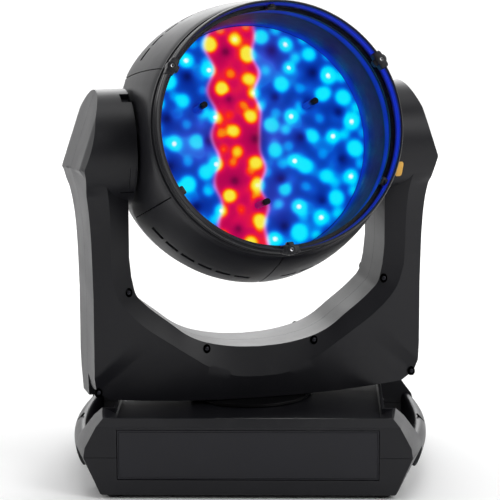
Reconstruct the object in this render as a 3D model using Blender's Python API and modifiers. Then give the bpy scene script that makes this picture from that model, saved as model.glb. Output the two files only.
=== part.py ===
"""Moving head light: base, panning yoke and tilting LED head, one object per piece.

The origin is the centre of the base's underside. +Z is up and -Y is the side of the
blank base panel. The yoke rests panned by PAN_REST and the head tilted up by TILT_REST.
Lengths below are millimetres, and MM turns them into Blender's metres.
"""
import math

import bmesh
import bpy
from mathutils import Matrix, Vector

MM = 0.001
GAP = 0.35              # clearance between pieces that touch

# Rest pose and axes
PAN_REST = 16.16        # degrees about +Z
TILT_REST = 15.45       # degrees of the head's axis above horizontal
TILT_AXIS_Z = 411.7     # height of the tilt axis

# Base
BASE_HALF_DEPTH = 170.7
BASE_LEVELS = [(0.0, 180.5, 0.8, 0.0), (47.0, 201.0, 1.0, 0.0), (59.5, 199.2, 0.9, 0.0),
               (85.8, 185.2, 0.5, 0.0), (94.8, 177.0, 0.35, 8.2)]  # height, half width, bulge share, setback
BASE_BULGE = 24.0       # how far the sides bow out at mid depth
SEAM_Z = 47.0           # joint of the lower and upper shell
SEAM_LIP = 3.0          # upright strip each side of the joint
DECK_Z = 86.0           # top deck under the yoke
DECK_HALF_WIDTH = 168.0
BAY_HALF_LENGTH = 109.0  # half length of the hand bay beside the deck
WALL = 3.0
PANEL_HALF_WIDTH = 160.0
PANEL_BOTTOM = 19.6
PANEL_TOP = 82.0
FOOT_RADIUS = 12.0
FOOT_DROP = 4.5
FOOT_X = 164.0
FOOT_Y = 154.0
BRACKET_PAD = 60.0      # half width of the middle of the underside, where brackets sit

# Yoke
HUB_RADIUS = 73.0
HUB_FACE = 160.6        # inner face of each hub, from the middle
ARM_INNER = 166.0
CORNER_HALF_WIDTH = 230.5
CORNER_Z = 388.5        # widest corner at mid depth
CORNER_SLANT = 0.09     # drop of that corner per mm towards the back
ARM_HALF_WIDTH = 212.5
FRAME_X = 184.0
FRAME_DEPTH = 56.0
FRAME_FLOOR = 104.0
SHAFT_RADIUS = 30.0

# Head, in its own frame: X along the tilt axis, Z out of the lens
HEAD_FLAT = 157.0       # half width over the flattened sides
COVER_PROFILE = [(-9.0, 176.6), (12.0, 175.8), (45.0, 172.0), (85.0, 165.2), (120.6, 156.6)]
COVER_GAP = 0.21        # degrees left free at each end of a cover
REAR_PROFILE = [(-9.6, 175.4), (-45.0, 170.5), (-90.0, 158.0), (-122.0, 138.0), (-140.0, 108.0),
                (-143.0, 56.0)]
RING_BACK = 121.0
RING_FRONT = 158.8
RING_RADIUS = 155.6
LUG_RADIUS = 150.4
LUG_ANGLES = (30.0, 150.0, 270.0)
TAB_ANGLES = (90.0, 210.0, 330.0)
POST_RADIUS = 82.0      # lead screws of the zoom
LENS_RADIUS = 144.5
LENS_BACK = 40.0
LENS_FRONT = 48.0
BOARD_BACK = 11.0        # back of the LED board
BOARD_RADIUS = 146.0
SCREW_END = 64.0        # front end of the zoom screws
TRUNNION_RADIUS = 22.0
TRUNNION_END = 201.5

# Drives
PAN_PULLEY_RADIUS = 75.0
PAN_PINION_RADIUS = 12.0
PAN_PINION_X = 118.0
PAN_BELT_Z = 58.0
TILT_PULLEY_RADIUS = 38.0
TILT_PINION_RADIUS = 10.0
TILT_PINION_Z = 130.0
TILT_BELT_X = -194.5
BELT_WIDTH = 9.0
BELT_THICKNESS = 1.6


def clear_scene():
    for old in list(bpy.data.objects):
        bpy.data.objects.remove(old, do_unlink=True)


def make_collection(name):
    collection = bpy.data.collections.new(name)
    bpy.context.scene.collection.children.link(collection)
    return collection


def make_material(name, colour, roughness, metallic=0.0):
    material = bpy.data.materials.new(name)
    material.use_nodes = True
    shader = material.node_tree.nodes["Principled BSDF"]
    shader.inputs["Base Color"].default_value = (*colour, 1.0)
    shader.inputs["Roughness"].default_value = roughness
    shader.inputs["Metallic"].default_value = metallic
    material.diffuse_color = (*colour, 1.0)
    return material


def place(name, mesh, material, parent=None, location=(0, 0, 0), rotation=(0, 0, 0)):
    """Put a mesh in the scene; location is in millimetres and rotation in degrees."""
    piece = bpy.data.objects.new(name, mesh)
    PARTS.objects.link(piece)
    piece.location = Vector(location) * MM
    piece.rotation_euler = [math.radians(angle) for angle in rotation]
    piece.parent = parent
    if material is not None:
        mesh.materials.append(material)
    return piece


def as_cutter(piece):
    PARTS.objects.unlink(piece)
    CUTTERS.objects.link(piece)
    piece.hide_render = True
    piece.display_type = "WIRE"
    return piece


def to_mesh(name, bm, smooth=False):
    mesh = bpy.data.meshes.new(name)
    bm.to_mesh(mesh)
    bm.free()
    if smooth:
        mesh.shade_smooth()
        mesh.set_sharp_from_angle(angle=math.radians(35))
    return mesh


def box_mesh(name, low, high):
    bm = bmesh.new()
    bmesh.ops.create_cube(bm, size=1.0)
    size = [(b - a) * MM for a, b in zip(low, high)]
    centre = [(a + b) * 0.5 * MM for a, b in zip(low, high)]
    bmesh.ops.scale(bm, vec=size, verts=bm.verts)
    bmesh.ops.translate(bm, vec=centre, verts=bm.verts)
    return to_mesh(name, bm)


def rod_mesh(name, radius, low, high, segments=24, end_radius=None):
    """A cylinder or cone about Z between two heights."""
    bm = bmesh.new()
    last = radius if end_radius is None else end_radius
    bmesh.ops.create_cone(bm, cap_ends=True, segments=segments, radius1=radius * MM,
                          radius2=last * MM, depth=(high - low) * MM)
    bmesh.ops.translate(bm, vec=(0, 0, (low + high) * 0.5 * MM), verts=bm.verts)
    return to_mesh(name, bm, smooth=True)


def turned_piece(name, profile, material, parent=None, location=(0, 0, 0), rotation=(0, 0, 0),
                      steps=32):
    """A ring turned about Z from a closed profile of (radius, height), outer side first, downwards."""
    bm = bmesh.new()
    corners = [bm.verts.new((r * MM, 0, z * MM)) for r, z in profile]
    for a, b in zip(corners, corners[1:] + corners[:1]):
        bm.edges.new((a, b))
    piece = place(name, to_mesh(name, bm), material, parent, location, rotation)
    screw = piece.modifiers.new("turn", "SCREW")
    screw.steps = steps
    screw.render_steps = steps
    screw.use_merge_vertices = True
    screw.merge_threshold = 0.00001
    return piece


def sheet_bmesh(rows, closed=False):
    """Quads between neighbouring rows of points; a closed sheet joins each row's ends."""
    bm = bmesh.new()
    grid = [[bm.verts.new(Vector(point) * MM) for point in row] for row in rows]
    count = len(grid[0])
    for low, high in zip(grid, grid[1:]):
        for k in range(count if closed else count - 1):
            bm.faces.new((low[k], low[(k + 1) % count], high[(k + 1) % count], high[k]))
    return bm, grid


def turn_faces_out(bm, outward):
    """Flip the sheet if its faces look against outward, which gives a direction for a point."""
    bmesh.ops.recalc_face_normals(bm, faces=bm.faces)
    total = sum(f.normal.dot(outward(f.calc_center_median())) * f.calc_area() for f in bm.faces)
    if total < 0:
        bmesh.ops.reverse_faces(bm, faces=bm.faces)


def thicken(piece, wall):
    solid = piece.modifiers.new("wall", "SOLIDIFY")
    solid.thickness = wall * MM
    solid.offset = -1.0
    solid.use_even_offset = True


def cut(piece, cutter, operation="DIFFERENCE"):
    boolean = piece.modifiers.new("cut", "BOOLEAN")
    boolean.operation = operation
    boolean.solver = "EXACT"
    boolean.object = cutter


def cut_box(piece, name, low, high, parent=None, location=(0, 0, 0), rotation=(0, 0, 0)):
    cutter = place(name, box_mesh(name, low, high), None, parent, location, rotation)
    cut(piece, as_cutter(cutter))
    return cutter


def cut_rod(piece, name, radius, low, high, parent=None, location=(0, 0, 0), rotation=(0, 0, 0),
            segments=24):
    cutter = place(name, rod_mesh(name, radius, low, high, segments), None, parent, location, rotation)
    cut(piece, as_cutter(cutter))
    return cutter


def add_box(name, low, high, material, parent=None, location=(0, 0, 0), rotation=(0, 0, 0), bevel=0.0):
    piece = place(name, box_mesh(name, low, high), material, parent, location, rotation)
    if bevel:
        soften = piece.modifiers.new("edges", "BEVEL")
        soften.width = bevel * MM
        soften.segments = 1
        soften.limit_method = "ANGLE"
    return piece


def loft(name, sections, material, parent=None):
    """A closed solid through unlike sections, capped at both ends."""
    bm, grid = sheet_bmesh(sections, closed=True)
    bm.faces.new(grid[0])
    bm.faces.new(grid[-1])
    bmesh.ops.recalc_face_normals(bm, faces=bm.faces)
    return place(name, to_mesh(name, bm), material, parent)


# ---------------------------------------------------------------- base

def base_side(y, half_width, bulge_share):
    """Half width of the base at a depth: bowed, widest at mid depth."""
    share = 1.0 - (y / BASE_HALF_DEPTH) ** 2
    return half_width + BASE_BULGE * bulge_share * share


def base_outline(z, half_width, bulge_share, setback, inset=0.0):
    """Plan outline with a bay on each side for the hand grip."""
    depth = BASE_HALF_DEPTH - setback - inset
    bay = BAY_HALF_LENGTH
    side = [(half_width - inset, -depth)]
    for y in (-140.0, -bay - inset):
        side.append((base_side(y, half_width, bulge_share) - inset, y))
    side.append((DECK_HALF_WIDTH - inset, -bay - inset))
    right = side + [(x, -y) for x, y in reversed(side)]
    left = [(-x, y) for x, y in reversed(right)]
    return [(x, y, z) for x, y in right + left]


def base_lower_shell():
    levels = [base_outline(*BASE_LEVELS[0])]
    levels += [base_outline(SEAM_Z - drop, *BASE_LEVELS[1][1:]) for drop in (SEAM_LIP, GAP / 2)]
    bm, grid = sheet_bmesh(levels, closed=True)
    bm.faces.new(grid[0])
    for across in (Vector((1, 0, 0)), Vector((0, 1, 0))):
        for side in (-BRACKET_PAD, BRACKET_PAD):
            everything = bm.verts[:] + bm.edges[:] + bm.faces[:]
            bmesh.ops.bisect_plane(bm, geom=everything, plane_co=across * side * MM, plane_no=across)
    centre = Vector((0, 0, SEAM_Z * MM))
    turn_faces_out(bm, lambda point: point - centre)
    shell = place("base_lower_shell", to_mesh("base_lower_shell", bm), PLASTIC)
    thicken(shell, WALL)
    for side, sign in (("front", -1), ("rear", 1)):
        cut_box(shell, "lower_opening_" + side, (-PANEL_HALF_WIDTH - GAP, -15, PANEL_BOTTOM - GAP),
                (PANEL_HALF_WIDTH + GAP, 15, 100), location=(0, sign * BASE_HALF_DEPTH, 0))


def base_upper_shell():
    """Upper cover: sides up to the rim, the rim's slope and the deck under the yoke."""
    levels = [base_outline(SEAM_Z + rise, *BASE_LEVELS[1][1:]) for rise in (GAP / 2, SEAM_LIP)]
    levels += [base_outline(*level) for level in BASE_LEVELS[2:]]
    top = BASE_LEVELS[-1]
    levels.append(base_outline(DECK_Z, *top[1:], inset=20.0))
    bm, grid = sheet_bmesh(levels, closed=True)
    bm.faces.new(grid[-1])
    centre = Vector((0, 0, 0))
    turn_faces_out(bm, lambda point: point - centre)
    shell = place("base_upper_shell", to_mesh("base_upper_shell", bm), PLASTIC)
    thicken(shell, WALL)
    for side, sign in (("front", -1), ("rear", 1)):
        cut_box(shell, "upper_opening_" + side, (-PANEL_HALF_WIDTH - GAP, -10, 0),
                (PANEL_HALF_WIDTH + GAP, 6, PANEL_TOP + GAP), location=(0, sign * (BASE_HALF_DEPTH + 2), 0))
    cut_rod(shell, "deck_hole", SHAFT_RADIUS + 6, DECK_Z - 12, DECK_Z + 8)


def base_panels():
    low = (-PANEL_HALF_WIDTH, -BASE_HALF_DEPTH - 0.6, PANEL_BOTTOM)
    high = (PANEL_HALF_WIDTH, -BASE_HALF_DEPTH + 2.0, PANEL_TOP)
    add_box("base_front_panel", low, high, PANEL, bevel=0.6)
    face = BASE_HALF_DEPTH - 4.0
    rear = add_box("base_rear_panel", (-PANEL_HALF_WIDTH, face - 2.5, PANEL_BOTTOM),
                   (PANEL_HALF_WIDTH, face, PANEL_TOP), METAL)
    return rear, face


def rear_panel_fittings(rear, face):
    """Power inlet, data sockets, display and its buttons on the rear panel."""
    x = -124.0
    cut_box(rear, "inlet_cut", (x - 12.5, face - 8, 39.5), (x + 12.5, face + 8, 64.5))
    socket = add_box("power_inlet", (x - 12, face - 16, 40), (x + 12, face + 2.5, 64), BLACK)
    cut_rod(socket, "inlet_bore", 8.0, -6, 12, location=(x, face, 52), rotation=(90, 0, 0), segments=20)
    for name, x in (("data_socket_in", -66.0), ("data_socket_out", -36.0)):
        cut_rod(rear, name + "_cut", 12.3, -8, 8, location=(x, face, 52), rotation=(90, 0, 0), segments=20)
        profile = [(12.0, 2.5), (12.0, -14.0), (8.0, -14.0), (8.0, 2.5)]
        turned_piece(name, profile, METAL, None, (x, face, 52), (-90, 0, 0), steps=20)
    cut_box(rear, "display_cut", (14.5, face - 8, 33.5), (81.5, face + 8, 66.5))
    add_box("display_window", (15, face - 2.5, 34), (81, face + 0.8, 66), GLASS, bevel=0.5)
    for k in range(3):
        x = 100.0 + 18.0 * k
        cut_rod(rear, "button_hole_%d" % (k + 1), 4.9, -8, 8, location=(x, face, 50), rotation=(90, 0, 0),
                segments=16)
        button = rod_mesh("menu_button_%d" % (k + 1), 4.5, -6, 3.0, 16)
        place("menu_button_%d" % (k + 1), button, BLACK, None, (x, face, 50), (-90, 0, 0))


def handle_section(y, sign):
    """Section of a grip: widest at the seam's height, sloping in above and below."""
    outer = base_side(y, BASE_LEVELS[1][1], 1.0)
    corners = [(0, 40), (0, 50), (-4, 57.5), (-10, 61.5), (-16, 60), (-17, 30), (-12, 20), (-7, 20)]
    return [(sign * (outer + x), y, z) for x, z in corners]


def side_handles():
    reach = BAY_HALF_LENGTH - GAP
    for side, sign in (("left", -1), ("right", 1)):
        sections = [handle_section(reach * (k / 5.0 - 1.0), sign) for k in range(11)]
        loft("side_handle_" + side, sections, PLASTIC)


def base_feet():
    for front, sy in (("front", -1), ("rear", 1)):
        for side, sx in (("left", -1), ("right", 1)):
            name = "foot_%s_%s" % (front, side)
            mesh = rod_mesh(name, FOOT_RADIUS - 2.0, -FOOT_DROP, -GAP, 20, FOOT_RADIUS)
            place(name, mesh, RUBBER, None, (sx * FOOT_X, sy * FOOT_Y, 0))


def base_internals():
    plate = add_box("chassis_plate", (-155, -140, 3.5), (155, 140, 6.0), METAL)
    cut_rod(plate, "plate_hole", 26, 0, 12)
    add_box("power_supply", (-140, -125, 6.5), (-45, 125, 45), METAL, bevel=1.5)
    add_box("control_board", (20, 60, 30), (140, 140, 32), BOARD)
    add_box("pan_motor", (PAN_PINION_X - 28, -28, 6.5), (PAN_PINION_X + 28, 28, 48), BLACK, bevel=4)
    turned_piece("pan_motor_pulley", belt_wheel(PAN_PINION_RADIUS, 2.6), METAL, None,
                      (PAN_PINION_X, 0, PAN_BELT_Z), steps=20)
    belt("pan_belt", PAN_PULLEY_RADIUS, PAN_PINION_RADIUS, PAN_PINION_X, None,
         (0, 0, PAN_BELT_Z), (0, 0, 0))
    profile = [(52, DECK_Z - WALL - 1), (52, 70), (SHAFT_RADIUS + GAP, 70),
               (SHAFT_RADIUS + GAP, DECK_Z - WALL - 1)]
    turned_piece("pan_bearing", profile, STEEL)


def belt_wheel(radius, bore):
    """Profile of a flanged pulley about its own mid plane."""
    half = BELT_WIDTH / 2 + 0.6
    rim = radius + BELT_THICKNESS + 1.4
    return [(rim, half + 1.2), (rim, half), (radius, half), (radius, -half), (rim, -half),
            (rim, -half - 1.2), (bore, -half - 1.2), (bore, half + 1.2)]


def belt_loop(big, small, distance, grow, height):
    """Open belt line round two pulleys, the small one at +X: two arcs and two straight runs."""
    lean = math.acos((big - small) / distance)
    points = []
    for k in range(17):
        angle = lean + (2 * math.pi - 2 * lean) * k / 16
        points.append(((big + grow) * math.cos(angle), (big + grow) * math.sin(angle), height))
    for k in range(9):
        angle = -lean + 2 * lean * k / 8
        points.append((distance + (small + grow) * math.cos(angle), (small + grow) * math.sin(angle), height))
    return points


def belt(name, big, small, distance, parent, location, rotation):
    half = BELT_WIDTH / 2
    inner, outer = 1.0, 1.0 + BELT_THICKNESS
    rows = [belt_loop(big, small, distance, grow, z)
            for grow, z in ((outer, -half), (outer, half), (inner, half), (inner, -half), (outer, -half))]
    bm = sheet_bmesh(rows, closed=True)[0]
    bmesh.ops.remove_doubles(bm, verts=bm.verts, dist=0.00001)
    bmesh.ops.recalc_face_normals(bm, faces=bm.faces)
    place(name, to_mesh(name, bm), RUBBER, parent, location, rotation)


def pan_lock():
    """Sliding catch on the rear of the deck; it moves in towards the turntable."""
    low = (-12, 128, DECK_Z + GAP)
    high = (12, 144, DECK_Z + 6.5)
    add_box("pan_lock_catch", low, high, YELLOW, bevel=1.0)


# ---------------------------------------------------------------- yoke

def outer_half_width(z, y):
    """Half width of an arm: a slanted hub end over a widest corner, and a hollow curve below."""
    corner = CORNER_Z - CORNER_SLANT * y
    if z >= corner:
        return CORNER_HALF_WIDTH - 0.337 * (z - corner)
    return ARM_HALF_WIDTH + (CORNER_HALF_WIDTH - ARM_HALF_WIDTH) * math.exp((z - corner) / 42.0)


def hub_depth(z):
    return math.sqrt(max(HUB_RADIUS ** 2 - (z - TILT_AXIS_Z) ** 2, 64.0))


def arm_slice(z, side, half):
    """Points across one arm at a height: outer parting, outer edge, crest, inner edge, inner parting."""
    dip = TILT_AXIS_Z - z
    hub = hub_depth(z) if dip < 58.7 else 0.0
    flare = math.exp(-max(0.0, dip - 17.0) / 26.0)
    edge = max(45.0 + 25.5 * flare, 0.0) if dip > 17 else hub
    crest = max(50.0 + 21.0 * flare, 0.0) if dip > 17 else hub
    inner = max(hub, 41.0) if dip > 0 else hub
    face = HUB_FACE if dip < 58.7 else ARM_INNER
    crest_x = min(190.5 + 12.0 * flare, outer_half_width(z, half * edge) - 12.0)
    outer = outer_half_width(z, half * edge)
    middle = outer_half_width(z, 0)
    return [(side * middle, half * GAP / 2, z), (side * outer, half * edge, z),
            (side * crest_x, half * crest, z), (side * face, half * inner, z),
            (side * face, half * GAP / 2, z)]


# Fan of slices round the bottom of the U: outer point, its depth, crest point and inner point
U_FAN = [((212.5, 230), 45, (189.5, 255), (163.5, 255)), ((212.5, 185), 45, (181, 228), (158, 233)),
         ((212.5, 150), 45, (167, 209), (148, 221)), ((212, 127), 43, (148, 191.5), (134, 208.5)),
         ((208.4, 110.7), 36, (128, 177), (115, 194)), ((192, 99.3), 36, (111, 165.5), (95, 178.5)),
         ((150, 96.3), 41, (88, 150), (75, 168.5)), ((100, 93.5), 44, (62, 134), (52, 162.3)),
         ((50, 91.9), 44, (32, 123), (28, 158.7)), ((0, 91.3), 44, (0, 120.5), (0, 157.3))]
REAR_CORNER = {110.7: (211.0, 98.4), 99.3: (192.0, 97.6)}  # the back half's squarer lower corner, by height
ARM_LEVELS = [478.0, 466.0, 448.0, 430.0, 411.7, 395.0, 388.5, 380.0, 366.0, 356.0, 350.0, 330.0, 280.0]


def fan_slice(item, side, half):
    (ox, oz), depth, (cx, cz), (ix, iz) = item
    if half > 0:
        ox, oz = REAR_CORNER.get(oz, (ox, oz))
    return [(side * ox, half * GAP / 2, oz), (side * ox, half * depth, oz), (side * cx, half * 50.0, cz),
            (side * ix, half * 41.0, iz), (side * ix, half * GAP / 2, iz)]


def yoke_slices(half):
    top = TILT_AXIS_Z + math.sqrt(HUB_RADIUS ** 2 - 64.0)

    def arm(side):
        lid = [(x, half * GAP / 2, top + 0.4) for x, _, z in arm_slice(top, side, half)]
        return [lid, arm_slice(top, side, half)] + [arm_slice(z, side, half) for z in ARM_LEVELS]

    left = arm(-1) + [fan_slice(item, -1, half) for item in U_FAN]
    right = arm(1) + [fan_slice(item, 1, half) for item in U_FAN[:-1]]
    return left + right[::-1]


def yoke_shells(yoke):
    for name, half in (("yoke_front_shell", -1), ("yoke_rear_shell", 1)):
        bm = sheet_bmesh(yoke_slices(half))[0]
        turn_faces_out(bm, lambda _, half=half: Vector((0, half, 0)))
        shell = place(name, to_mesh(name, bm), PLASTIC, yoke)
        thicken(shell, 2.6)
        for side, sign in (("left", -1), ("right", 1)):
            cut_rod(shell, "%s_bore_%s" % (name, side), 34.0, -12, 12, yoke,
                    (sign * HUB_FACE, 0, TILT_AXIS_Z), (0, 90, 0))
        cut_rod(shell, name + "_shaft_hole", 40.0, 80, 98, yoke)
        if half < 0:
            cut_box(shell, "tilt_lock_slot", (-11.5, -15, -12), (11.5, 15, 12), yoke, LATCH_PLACE,
                    (LATCH_LEAN, 0, 0))


def on_hub(x, lean, lift):
    """A place on the hub's front, lean degrees below the horizontal, lift outside its surface."""
    reach = HUB_RADIUS + lift
    return (x, -reach * math.cos(math.radians(lean)), TILT_AXIS_Z - reach * math.sin(math.radians(lean)))


LATCH_LEAN = 26.0
LATCH_PLACE = on_hub(176.0, LATCH_LEAN, -1.0)


def tilt_lock(yoke):
    add_box("tilt_lock_catch", (-4.6, -2.5, -11), (4.6, 8, 11), YELLOW, yoke, LATCH_PLACE, (LATCH_LEAN, 0, 0),
            bevel=2.0)


def yoke_frame(yoke):
    """Folded steel U that carries the bearings, as one flat outline given its depth."""
    x, t = FRAME_X, 3.0
    top = TILT_AXIS_Z + 42.0
    outline = [(-x - t, top), (-x - t, FRAME_FLOOR), (x + t, FRAME_FLOOR), (x + t, top), (x, top),
               (x, FRAME_FLOOR + t), (-x, FRAME_FLOOR + t), (-x, top)]
    sections = [[(px, y, pz) for px, pz in outline] for y in (-FRAME_DEPTH / 2, FRAME_DEPTH / 2)]
    frame = loft("yoke_frame", sections, METAL, yoke)
    for side, sign in (("left", -1), ("right", 1)):
        cut_rod(frame, "frame_bore_" + side, TRUNNION_RADIUS + 2, -8, 8, yoke, (sign * x, 0, TILT_AXIS_Z),
                (0, 90, 0))
    cut_rod(frame, "frame_motor_hole", 9, -8, 8, yoke, (-x, 0, TILT_PINION_Z), (0, 90, 0), 16)
    cut_rod(frame, "frame_cable_hole", 20, FRAME_FLOOR - 5, FRAME_FLOOR + 8, yoke)


def yoke_drives(yoke):
    top = FRAME_FLOOR - GAP
    profile = [(SHAFT_RADIUS, top), (SHAFT_RADIUS, 48), (20, 48), (20, top)]
    turned_piece("pan_shaft", profile, STEEL, yoke)
    wheel = belt_wheel(PAN_PULLEY_RADIUS, SHAFT_RADIUS + GAP)
    turned_piece("pan_pulley", wheel, METAL, yoke, (0, 0, PAN_BELT_Z), steps=28)
    bore, low = SHAFT_RADIUS + GAP, DECK_Z + 0.5
    profile = [(78, 90.8), (78, low), (bore, low), (bore, 90.8)]
    turned_piece("turntable", profile, BLACK, yoke, steps=32)
    low, high = TILT_PINION_Z - 21, TILT_PINION_Z + 21
    add_box("tilt_motor", (-182, -22, low), (-128, 22, high), BLACK, yoke, bevel=4)
    turned_piece("tilt_motor_pulley", belt_wheel(TILT_PINION_RADIUS, 2.6), METAL, yoke,
                      (TILT_BELT_X, 0, TILT_PINION_Z), (0, 90, 0), steps=20)
    belt("tilt_belt", TILT_PULLEY_RADIUS, TILT_PINION_RADIUS, TILT_AXIS_Z - TILT_PINION_Z, yoke,
         (TILT_BELT_X, 0, TILT_AXIS_Z), (0, 90, 0))
    bore = TRUNNION_RADIUS + GAP
    profile = [(38, FRAME_X - GAP), (38, 172), (bore, 172), (bore, FRAME_X - GAP)]
    for side, turn in (("left", -90), ("right", 90)):
        turned_piece("tilt_bearing_" + side, profile, STEEL, yoke, (0, 0, TILT_AXIS_Z), (0, turn, 0), steps=28)


# ---------------------------------------------------------------- head

def drum_point(angle, n, radius):
    """A point of the drum, flattened where it would pass the head's half width."""
    c, s = math.cos(math.radians(angle)), math.sin(math.radians(angle))
    limit = HEAD_FLAT / max(abs(c), 0.001)
    return (min(radius, limit) * c, min(radius, limit) * s, n)


def head_covers(head):
    names = ["upper_right", "upper_left", "left", "lower_left", "lower_right", "right"]
    for k, side in enumerate(names):
        start = 30.0 + 60.0 * k
        name = "head_cover_" + side
        rows = []
        for step in range(9):
            angle = start + COVER_GAP + (60.0 - 2 * COVER_GAP) * step / 8
            rows.append([drum_point(angle, n, r) for n, r in COVER_PROFILE])
        bm = sheet_bmesh(rows)[0]
        turn_faces_out(bm, lambda point: Vector((point.x, point.y, 0)))
        cover = place(name, to_mesh(name, bm), PLASTIC, head)
        thicken(cover, 2.5)
        if side in ("left", "right"):
            turn = 90 if side == "right" else -90
            cut_rod(cover, name + "_bore", 33.0, 140, 165, head, (0, 0, 0), (0, turn, 0))
        else:
            vent_slots(cover, name, start, head)


def vent_slots(cover, name, start, head):
    """A row of cooling slots just inside the cover's back edge."""
    bm = bmesh.new()
    for k in range(6):
        angle = math.radians(start + 10.0 + 8.0 * k)
        made = bmesh.ops.create_cube(bm, size=1.0)
        move = Matrix.Rotation(angle, 4, "Z") @ Matrix.Translation((174.0 * MM, 0, 3.0 * MM))
        move = move @ Matrix.Diagonal((0.016, 0.0192, 0.0024, 1.0))
        bmesh.ops.transform(bm, matrix=move, verts=made["verts"])
    cutter = place(name + "_slots", to_mesh(name + "_slots", bm), None, head)
    cut(cover, as_cutter(cutter))


def head_rear_cover(head):
    rows = []
    for n, r in REAR_PROFILE:
        rows.append([drum_point(11.25 * (k + 0.5), n, r) for k in range(32)])
    bm = sheet_bmesh(rows, closed=True)[0]
    turn_faces_out(bm, lambda point: Vector((point.x, point.y, point.z)))
    cover = place("head_rear_cover", to_mesh("head_rear_cover", bm), PLASTIC, head)
    thicken(cover, 2.5)
    for side, turn in (("left", -90), ("right", 90)):
        cut_rod(cover, "rear_cover_bore_" + side, 33.7, 138, 167, head, (0, 0, 0), (0, turn, 0))
    guard = [(55.0, -141.0), (55.0, -145.5), (49.0, -145.5), (49.0, -141.0)]
    ring = turned_piece("fan_guard", guard, METAL, head, steps=32)
    for k in range(3):
        bar = place("guard_bar_%d" % k, box_mesh("guard_bar", (-52, -2, -144.5), (52, 2, -142)), None, head,
                    (0, 0, 0), (0, 0, 60 * k + 17))
        cut(ring, as_cutter(bar), "UNION")


def front_ring(head):
    """Bezel with three screw ears and three plain clips, turned and then joined up."""
    front, back, outer = RING_FRONT, RING_BACK, RING_RADIUS
    profile = [(149.8, front), (151.8, front - 1.2), (153.2, front - 6), (153.4, back + 8), (outer, back + 6),
               (outer, back), (147.0, back), (147.0, 129.0), (143.2, 131.0), (143.2, 134.0), (148.2, 134.0),
               (148.2, front - 1.5)]
    ring = turned_piece("front_ring", profile, PLASTIC, head, steps=44)
    for angle in LUG_ANGLES:
        c, s = math.cos(math.radians(angle)), math.sin(math.radians(angle))
        ear = rod_mesh("ear", 6.8, 143.0, front + 1.5, 16)
        lug = place("ring_ear_%d" % angle, ear, None, head, (LUG_RADIUS * c, LUG_RADIUS * s, 0))
        cut(ring, as_cutter(lug), "UNION")
    for angle in LUG_ANGLES:
        c, s = math.cos(math.radians(angle)), math.sin(math.radians(angle))
        cut_rod(ring, "ear_hole_%d" % angle, 2.9, 146, front + 5, head, (LUG_RADIUS * c, LUG_RADIUS * s, 0),
                segments=12)
    for angle in TAB_ANGLES:
        block = box_mesh("clip", (141.5, -5, 139), (150.5, 5, 146))
        clip = place("ring_clip_%d" % angle, block, None, head,
                     (0, 0, 0), (0, 0, angle))
        cut(ring, as_cutter(clip), "UNION")


def head_optics(head):
    place("front_glass", rod_mesh("front_glass", 147.4, 134.4, 137.4, 36), CLEAR, head)
    well = [(149.0, RING_BACK - GAP), (149.0, 13.0), (146.8, 13.0), (146.8, RING_BACK - GAP)]
    turned_piece("well_liner", well, BLACK, head, steps=36)
    array = place("lens_array", rod_mesh("lens_array", LENS_RADIUS, LENS_BACK, LENS_FRONT, 36), CLEAR, head)
    for k, angle in enumerate(LUG_ANGLES):
        spot = (POST_RADIUS * math.cos(math.radians(angle)), POST_RADIUS * math.sin(math.radians(angle)), 0)
        cut_rod(array, "array_hole_%d" % k, 4.6, LENS_BACK - 5, LENS_FRONT + 5, head, spot, segments=16)
        rod = rod_mesh("zoom_screw", 4.0, BOARD_BACK + 3.4, SCREW_END, 16)
        place("zoom_screw_%d" % (k + 1), rod, STEEL, head, spot)
    place("led_board", rod_mesh("led_board", BOARD_RADIUS, BOARD_BACK, BOARD_BACK + 3.0, 36), BOARD, head)


def head_chassis(head):
    rim = [drum_point(11.25 * k, 0, 150.0) for k in range(32)]
    sections = [[(min(max(x, -149.0), 149.0), y, z) for x, y, _ in rim] for z in (-16.0, -12.0)]
    chassis = loft("head_chassis", sections, METAL, head)
    cut_box(chassis, "heat_sink_opening", (-98, -96, -30), (98, 96, 0), head)


def heat_sink(head):
    """Finned block behind the LED board."""
    half, fins, thick = 96.0, 11, 3.2
    pitch = (2 * half - thick) / (fins - 1)
    top, root, tip = BOARD_BACK - GAP, BOARD_BACK - 8.0, -33.0
    outline = [(-half, top), (half, top), (half, tip), (half - thick, tip), (half - thick, root)]
    for k in range(fins - 2, 0, -1):
        x = -half + pitch * k
        outline += [(x + thick, root), (x + thick, tip + 2), (x, tip + 2), (x, root)]
    outline += [(-half + thick, root), (-half + thick, tip), (-half, tip)]
    sections = [[(x, y, z) for x, z in outline] for y in (-94.0, 94.0)]
    loft("heat_sink", sections, METAL, head)


def head_fan(head):
    """Axial fan: a square housing and a rotor with flat blades."""
    housing = add_box("fan_housing", (-46, -46, -58), (46, 46, -34), BLACK, head)
    cut_rod(housing, "fan_bore", 43.0, -64, -28, head, segments=32)
    strut = box_mesh("strut", (-44.5, -3, -36), (44.5, 3, -34.2))
    cut(housing, as_cutter(place("fan_strut", strut, None, head)),
        "UNION")
    rotor = place("fan_rotor", rod_mesh("fan_rotor", 15.0, -56, -38, 20), BLACK, head)
    for k in range(7):
        plate = box_mesh("blade", (12, -9, -0.8), (40.5, 9, 0.8))
        blade = place("blade_%d" % k, plate, None, head, (0, 0, -47))
        turn = Matrix.Rotation(math.radians(360 * k / 7), 4, "Z") @ Matrix.Rotation(math.radians(32), 4, "X")
        blade.rotation_euler = turn.to_euler()
        cut(rotor, as_cutter(blade), "UNION")


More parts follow.
